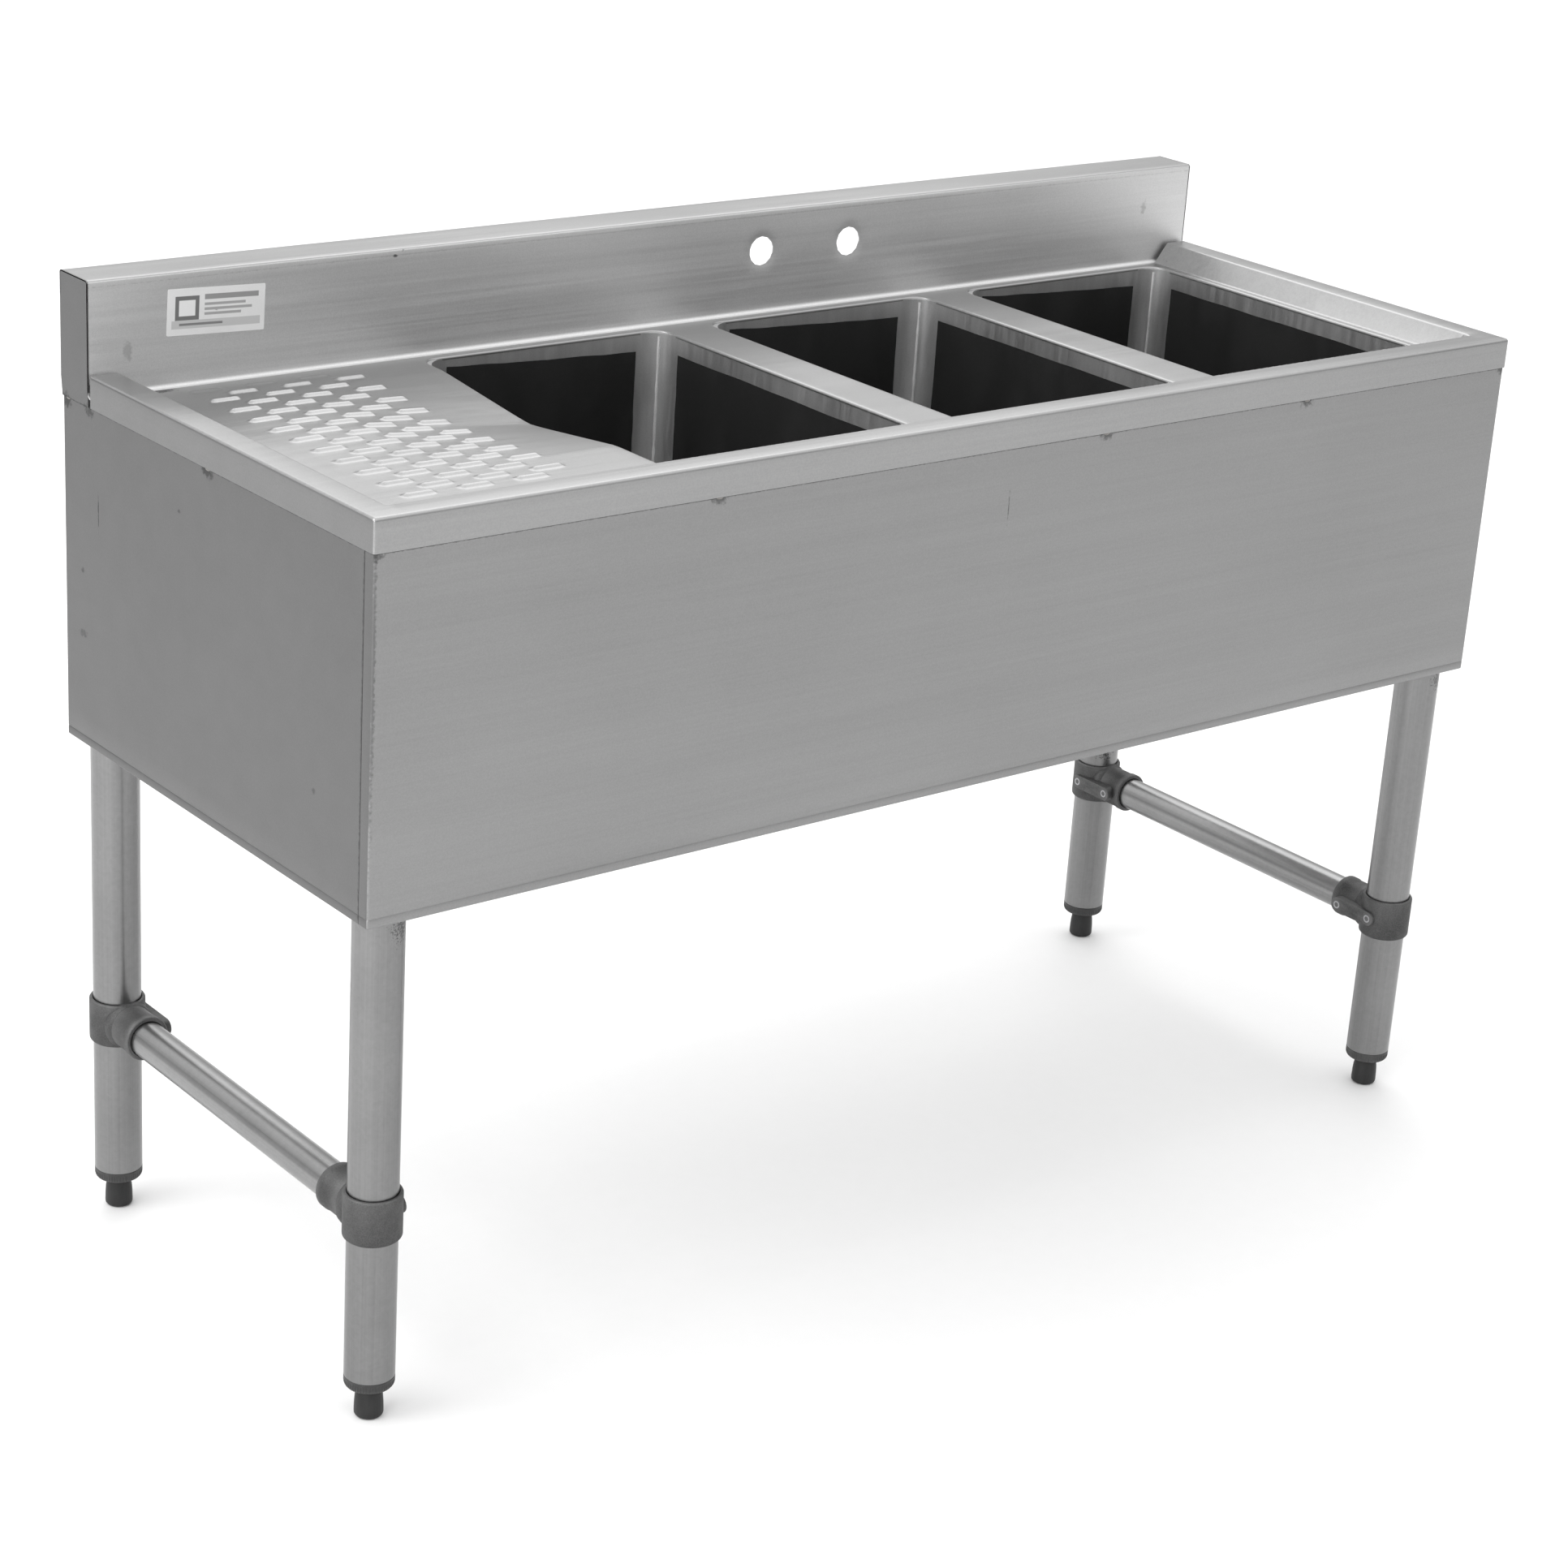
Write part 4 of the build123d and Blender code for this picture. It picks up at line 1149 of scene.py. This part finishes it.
deck_steel = steel(
    "deck_steel", 0.33, 0.34, (3, 260, 260), cloud=0.05, dents=0.2,
    marks=[
        ((63, 424, 744), (16, 7, 6), 0.75),
        ((52, 430, 744), (9, 6, 6), 0.5),
        ((1190, 415, 744), (9, 6, 6), 0.35),
    ],
)
# Darker copy of the deck steel for the side-facing skirts: painted shade on faces turned from the light.
skirt_steel_painted_shade = steel("skirt_steel_painted_shade", 0.23, 0.42, (260, 3, 260), cloud=0.05, dents=0.2)
# Lighter copy of the deck steel for the upright splash face: painted light. The splash's top keeps the deck
# steel.
splash_steel_painted_light = steel(
    "splash_steel_painted_light", 0.68, 0.50, (3, 420, 300), cloud=0.06, dents=0.35,
    marks=[
        ((288, 431, 832), (2.6, 4, 1.6), 0.8),
        ((295, 433, 836), (2.2, 4, 2.0), 0.8),
        ((36, 430, 777), (5, 5, 9), 0.25),
        ((640, 431, 832.5), (900, 5, 0.8), 0.16),
        ((1160, 430, 800), (4, 5, 8), 0.25),
    ],
)
apron_steel = steel(
    "apron_steel", 0.285, 0.42, (3, 300, 260), cloud=0.06, dents=0.5,
    marks=[
        # Painted shade: a dark line along the front apron just under the skirt's bottom edge.
        ((600, 0, 734.6), (9000, 9000, 1.0), 0.55),
        *(((x, 0, 733), (9, 5, 5), 0.6) for x in FRONT_TACKS),
        ((3, 4, 733), (8, 8, 5), 0.6),
        ((1216, 4, 733), (8, 8, 5), 0.6),
        ((614, 0, 685), (0.8, 5, 16), 0.6),
        ((1.5, 2, 650), (3.2, 8, 170), 0.45),
    ],
)
# Darker copy of the apron steel for faces that look left or right: painted shade on the sides.
side_steel_painted_shade = steel(
    "side_steel_painted_shade", 0.158, 0.42, (300, 3, 260), cloud=0.06, dents=0.5,
    marks=[
        # Painted shade: a dark line along the side just under the skirt's bottom edge.
        ((0, 240, 734.6), (9000, 9000, 1.0), 0.5),
        ((0, 240, 732), (5, 10, 6), 0.7),
        ((0, 14.4, 620), (5, 1.2, 260), 0.45),
        ((0, 430, 732), (5, 9, 6), 0.6),
        ((0, 468, 732), (5, 9, 8), 0.7),
        ((0, 417, 650), (5, 1.0, 20), 0.7),
        ((0, 445, 593), (5, 3, 3), 0.5),
        ((0, 445, 539), (5, 8, 4), 0.4),
        ((0, 285, 688), (5, 3, 2), 0.5),
        ((0, 80, 525), (5, 3, 3), 0.4),
    ],
)
bowl_steel = steel("bowl_brushed_steel", 0.62, 0.42, (160, 160, 12), cloud=0.05, dents=0.1)
weld_steel = steel("weld_steel", 0.95, 0.5, (120, 120, 40), cloud=0.04, dents=0.0)
drain_steel = steel("drain_polished_steel", 0.58, 0.22, (90, 90, 90), cloud=0.03, dents=0.0)
fastener_zinc = tinted("fastener_zinc", (0.36, 0.36, 0.37), 0.34, metallic=1.0, scale=700, depth=0.02)
socket_zinc = tinted("socket_zinc", (0.42, 0.43, 0.44), 0.42, metallic=1.0, scale=260, depth=0.05)
brass_chrome = tinted("chromed_brass_metal", (0.68, 0.68, 0.69), 0.16, metallic=1.0, scale=160, depth=0.01)
rubber = tinted("black_rubber_grain", (0.018, 0.018, 0.018), 0.75, scale=800, depth=0.05)
fibre_card = tinted("fibre_card", (0.28, 0.19, 0.12), 0.85, scale=500, depth=0.06)
casting = cast_grey("grey_casting_sand")
cap_plastic = plastic("cap_plastic", 0.035, 0.5)
foot_plastic = plastic("foot_plastic", 0.013, 0.5)
film_material = film_black("film_black_matt")
tack_metal = tinted("tack_metal", (0.24, 0.23, 0.22), 0.42, metallic=1.0, scale=900, depth=0.1)


def label_paper():
    """Matt sticker stock with letterless grey bars, and a framed block."""
    centre = middle_of(*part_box("maker_label"))
    n = Nodes("label_paper")
    n.set(Specular_IOR_Level=0.3)
    fibre = n.noise(1600.0, 4.0)
    stain = n.noise(45.0, 3.0)
    paper = 0.72
    level = n.plus(n.vary(fibre, paper * 0.98, paper * 1.02), n.span(stain, 0.35, 0.75, 0.0, -0.05 * paper))
    colour = n.grey(level)
    split = n.add("ShaderNodeSeparateXYZ")
    n.link(n.where.outputs["Object"], split.inputs[0])
    x = n.minus(split.outputs[0], centre.x)
    z = n.minus(split.outputs[2], centre.z)
    u = n.minus(n.times(x, cos(LABEL_TILT)), n.times(z, sin(LABEL_TILT)))
    v = n.plus(n.times(z, cos(LABEL_TILT)), n.times(x, sin(LABEL_TILT)))
    bars = (
        (-27, 3, 11, 10, 0.16), (-27, 3, 7.5, 6.5, 0.75), (14, 11.5, 25, 2.2, 0.28),
        (8, 5.5, 19, 1.1, 0.35), (11, 1.5, 22, 1.1, 0.35), (6, -2.5, 17, 1.1, 0.35),
        (0, -10.5, 41, 3.4, 0.5), (-14, -10.5, 20, 1.0, 0.2),
    )
    for at_x, at_z, half_x, half_z, grey in bars:
        dx = n.minus(n.math("ABSOLUTE", n.minus(u, at_x * MM)), half_x * MM)
        dz = n.minus(n.math("ABSOLUTE", n.minus(v, at_z * MM)), half_z * MM)
        mask = n.span(n.math("MAXIMUM", dx, dz), -0.15 * MM, 0.15 * MM, 1.0, 0.0)
        colour = n.mix(mask, colour, grey)
    return n.finish(colour, n.vary(stain, 0.45, 0.55), (fibre, 0.01, 0.4))


# --- Put the sink together ---


def second_material(obj, material, chosen):
    """Gives the chosen faces of a piece another material."""
    obj.data.materials.append(material)
    for face in obj.data.polygons:
        face.material_index = 1 if chosen(face) else 0


def on_side_skirt(face):
    return abs(face.normal.x) > 0.9 and from_edge(face.center.x, 0) < SHEET


def on_splash_top(face):
    return face.normal.z > 0.6 and face.center.z > TOP - 2 * MM


deck = dress(thicken(deck_skin()), deck_steel, replaces=["deck"])
# The left and right skirts of the top sheet take the darker copy of the deck steel: painted shade.
second_material(deck, skirt_steel_painted_shade, on_side_skirt)
splash = dress(thicken(splash_skin(), 1.0 * MM), splash_steel_painted_light, replaces=["backsplash"])
# The splash's top faces keep the deck steel, so only its upright face carries the painted light of the
# lighter copy.
second_material(splash, deck_steel, on_splash_top)

side_low, side_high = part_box("side_apron_left")
_, far_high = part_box("side_apron_right")
wrap = apron_low.y + 12 * MM
front_points = (
    (side_low.x, wrap), (side_low.x, apron_low.y), (far_high.x, apron_low.y), (far_high.x, wrap),
)
front = apron("front_apron_skin", "front_apron", front_points, 2.5 * MM)
dress(front, apron_steel, replaces=["front_apron"])
# The front apron's wrapped ends take the darker side copy of the steel: painted shade.
second_material(front, side_steel_painted_shade, lambda face: abs(face.normal.x) > 0.8)
side_points = {
    "left": ((side_low.x, side_high.y), (side_low.x, wrap + 0.5 * MM)),
    "right": ((far_high.x, wrap + 0.5 * MM), (far_high.x, far_high.y)),
}
for side, points in side_points.items():
    node = f"side_apron_{side}"
    dress(apron(f"{node}_skin", node, points, 0), side_steel_painted_shade, replaces=[node])

film_pieces = []
for number in BOWLS:
    dress(bowl(number), bowl_steel, replaces=[f"bowl_{number}"])
    beads = [weld_bead(number, corner) for corner in ((1, 1), (1, -1), (-1, 1), (-1, -1))]
    dress(join(beads[0], beads[1:]), weld_steel)
    film_pieces.append(film(number))
films = join(film_pieces[0], film_pieces[1:])
films.name = "bowl_films_skin"
dress(films, film_material, replaces=["bowl_films"])

for place in PLACES:
    low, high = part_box(f"leg_{place}")
    centre = middle_of(low, high)
    smudges = []
    if place.startswith("front"):
        at = Vector((centre.x + 9 * MM, low.y + 3 * MM, APRON_BOTTOM - 9 * MM))
        smudges = [(at, Vector((9, 12, 11)) * MM, 0.6)]
    if place == "back_right":
        at = Vector((centre.x - 8 * MM, low.y + 3 * MM, 225 * MM))
        smudges = [(at, Vector((8, 10, 14)) * MM, 0.7)]
    metal = tube_metal(f"leg_tube_{place}", 0.235, 0.30, seam=0.9, smudges=smudges)
    tube = tube_skin(f"leg_{place}_tube", f"leg_{place}", "Z")
    dress(tube, metal, replaces=[f"leg_{place}"])
    dress(tee_skin(place), casting, replaces=[f"tee_{place}"], angle=50)
    dress(insert_skin(place), cap_plastic, replaces=[f"foot_insert_{place}"])
    foot = f"foot_{place}"
    dress(foot_skin(place), foot_plastic, body=foot, replaces=[foot])
for side in ("left", "right"):
    metal = tube_metal(f"brace_tube_{side}", 0.27, 0.30, seam=0.64)
    brace = tube_skin(f"cross_brace_{side}_tube", f"cross_brace_{side}", "Y")
    dress(brace, metal, replaces=[f"cross_brace_{side}"])

dress(screw_skins(), fastener_zinc, replaces=["tee_screws"])
dress(label_sheet(), label_paper(), replaces=["maker_label"])
dress(tack_beads(), tack_metal, replaces=["tack_welds"])

# CAD nodes that are shown as they are, with their own materials
kept = {
    # The splash ends take the darker side copy of the steel: painted shade.
    "splash_end_left": side_steel_painted_shade,
    "splash_end_right": side_steel_painted_shade,
    "rear_rail": apron_steel,
    "leg_channel_left": apron_steel,
    "leg_channel_right": apron_steel,
    "socket_screws": fastener_zinc,
    "drain_gaskets": rubber,
    "friction_washers": fibre_card,
    "drain_locknuts": brass_chrome,
    "tailpieces": brass_chrome,
    "coupling_nuts": brass_chrome,
}
for place in PLACES:
    kept[f"leg_socket_{place}"] = socket_zinc
    kept[f"foot_stud_{place}"] = fastener_zinc
for number in BOWLS:
    kept[f"drain_body_{number}"] = drain_steel
    kept[f"strainer_basket_{number}"] = drain_steel
    kept[f"basket_stopper_{number}"] = rubber
for name, material in kept.items():
    node = frame["nodes"][name]
    node.data.materials.clear()
    node.data.materials.append(material)

# --- Floor, light and camera ---


def floor_material():
    """Smooth pale studio floor."""
    n = Nodes("floor_pale")
    n.set(Specular_IOR_Level=0.25)
    clouds = n.noise(0.7, 3.0)
    grain = n.noise(60.0, 3.0)
    level = n.plus(n.vary(clouds, 0.795, 0.805), n.vary(grain, -0.004, 0.004))
    return n.finish(n.grey(level), n.vary(grain, 0.6, 0.7))


corners = [(-12, -12, 0), (12, -12, 0), (12, 12, 0), (-12, 12, 0)]
floor = make_object("floor", corners, [(0, 1, 2, 3)])
floor.data.materials.append(floor_material())

world = bpy.data.worlds.new("studio")
bpy.context.scene.world = world
world.use_nodes = True
tree = world.node_tree
tree.nodes.clear()
out = tree.nodes.new("ShaderNodeOutputWorld")
sky = tree.nodes.new("ShaderNodeBackground")
where = tree.nodes.new("ShaderNodeTexCoord")
split = tree.nodes.new("ShaderNodeSeparateXYZ")
ramp = tree.nodes.new("ShaderNodeMapRange")
ramp.interpolation_type = "SMOOTHSTEP"
for key, value in {"From Min": 0.15, "From Max": 0.8, "To Min": 0.73, "To Max": 1.9}.items():
    ramp.inputs[key].default_value = value
tree.links.new(where.outputs["Generated"], split.inputs[0])
tree.links.new(split.outputs[2], ramp.inputs["Value"])
tree.links.new(ramp.outputs["Result"], sky.inputs["Color"])
sky.inputs["Strength"].default_value = 0.86
tree.links.new(sky.outputs[0], out.inputs[0])


def soft_light(name, place, target, size, power):
    """A large square light that looks at a point."""
    data = bpy.data.lights.new(name, "AREA")
    data.shape = "SQUARE"
    data.size = size
    data.energy = power
    light = bpy.data.objects.new(name, data)
    bpy.context.scene.collection.objects.link(light)
    light.location = place
    way = Vector(target) - Vector(place)
    light.rotation_euler = way.to_track_quat("-Z", "Y").to_euler()


soft_light("key", (-3.4, 0.6, 3.2), (-0.2, 0, 0.7), 2.4, 70)
soft_light("low_left", (-3.4, -1.4, 1.3), (-0.4, 0, 0.4), 1.4, 26)
soft_light("above", (1.4, 2.2, 3.4), (0, 0, 0.7), 3.0, 36)

camera_data = bpy.data.cameras.new("camera")
camera_data.lens = 80.73
camera_data.sensor_width = 36.0
camera_data.clip_end = 60.0
camera = bpy.data.objects.new("camera", camera_data)
bpy.context.scene.collection.objects.link(camera)
bpy.context.scene.camera = camera
turn, pitch, roll = radians(39.4959), radians(21.3313), radians(3.7627)
ahead = Vector((sin(turn) * cos(pitch), cos(turn) * cos(pitch), -sin(pitch)))
level = Vector((cos(turn), -sin(turn), 0.0))
above = level.cross(ahead)
across = level * cos(roll) + above * sin(roll)
upward = above * cos(roll) - level * sin(roll)
pose = Matrix((across, upward, -ahead)).transposed().to_4x4()
pose.translation = Vector((-1.8973, -2.2775, 1.5148))
camera.matrix_world = pose
bpy.context.scene.view_settings.view_transform = "Standard"
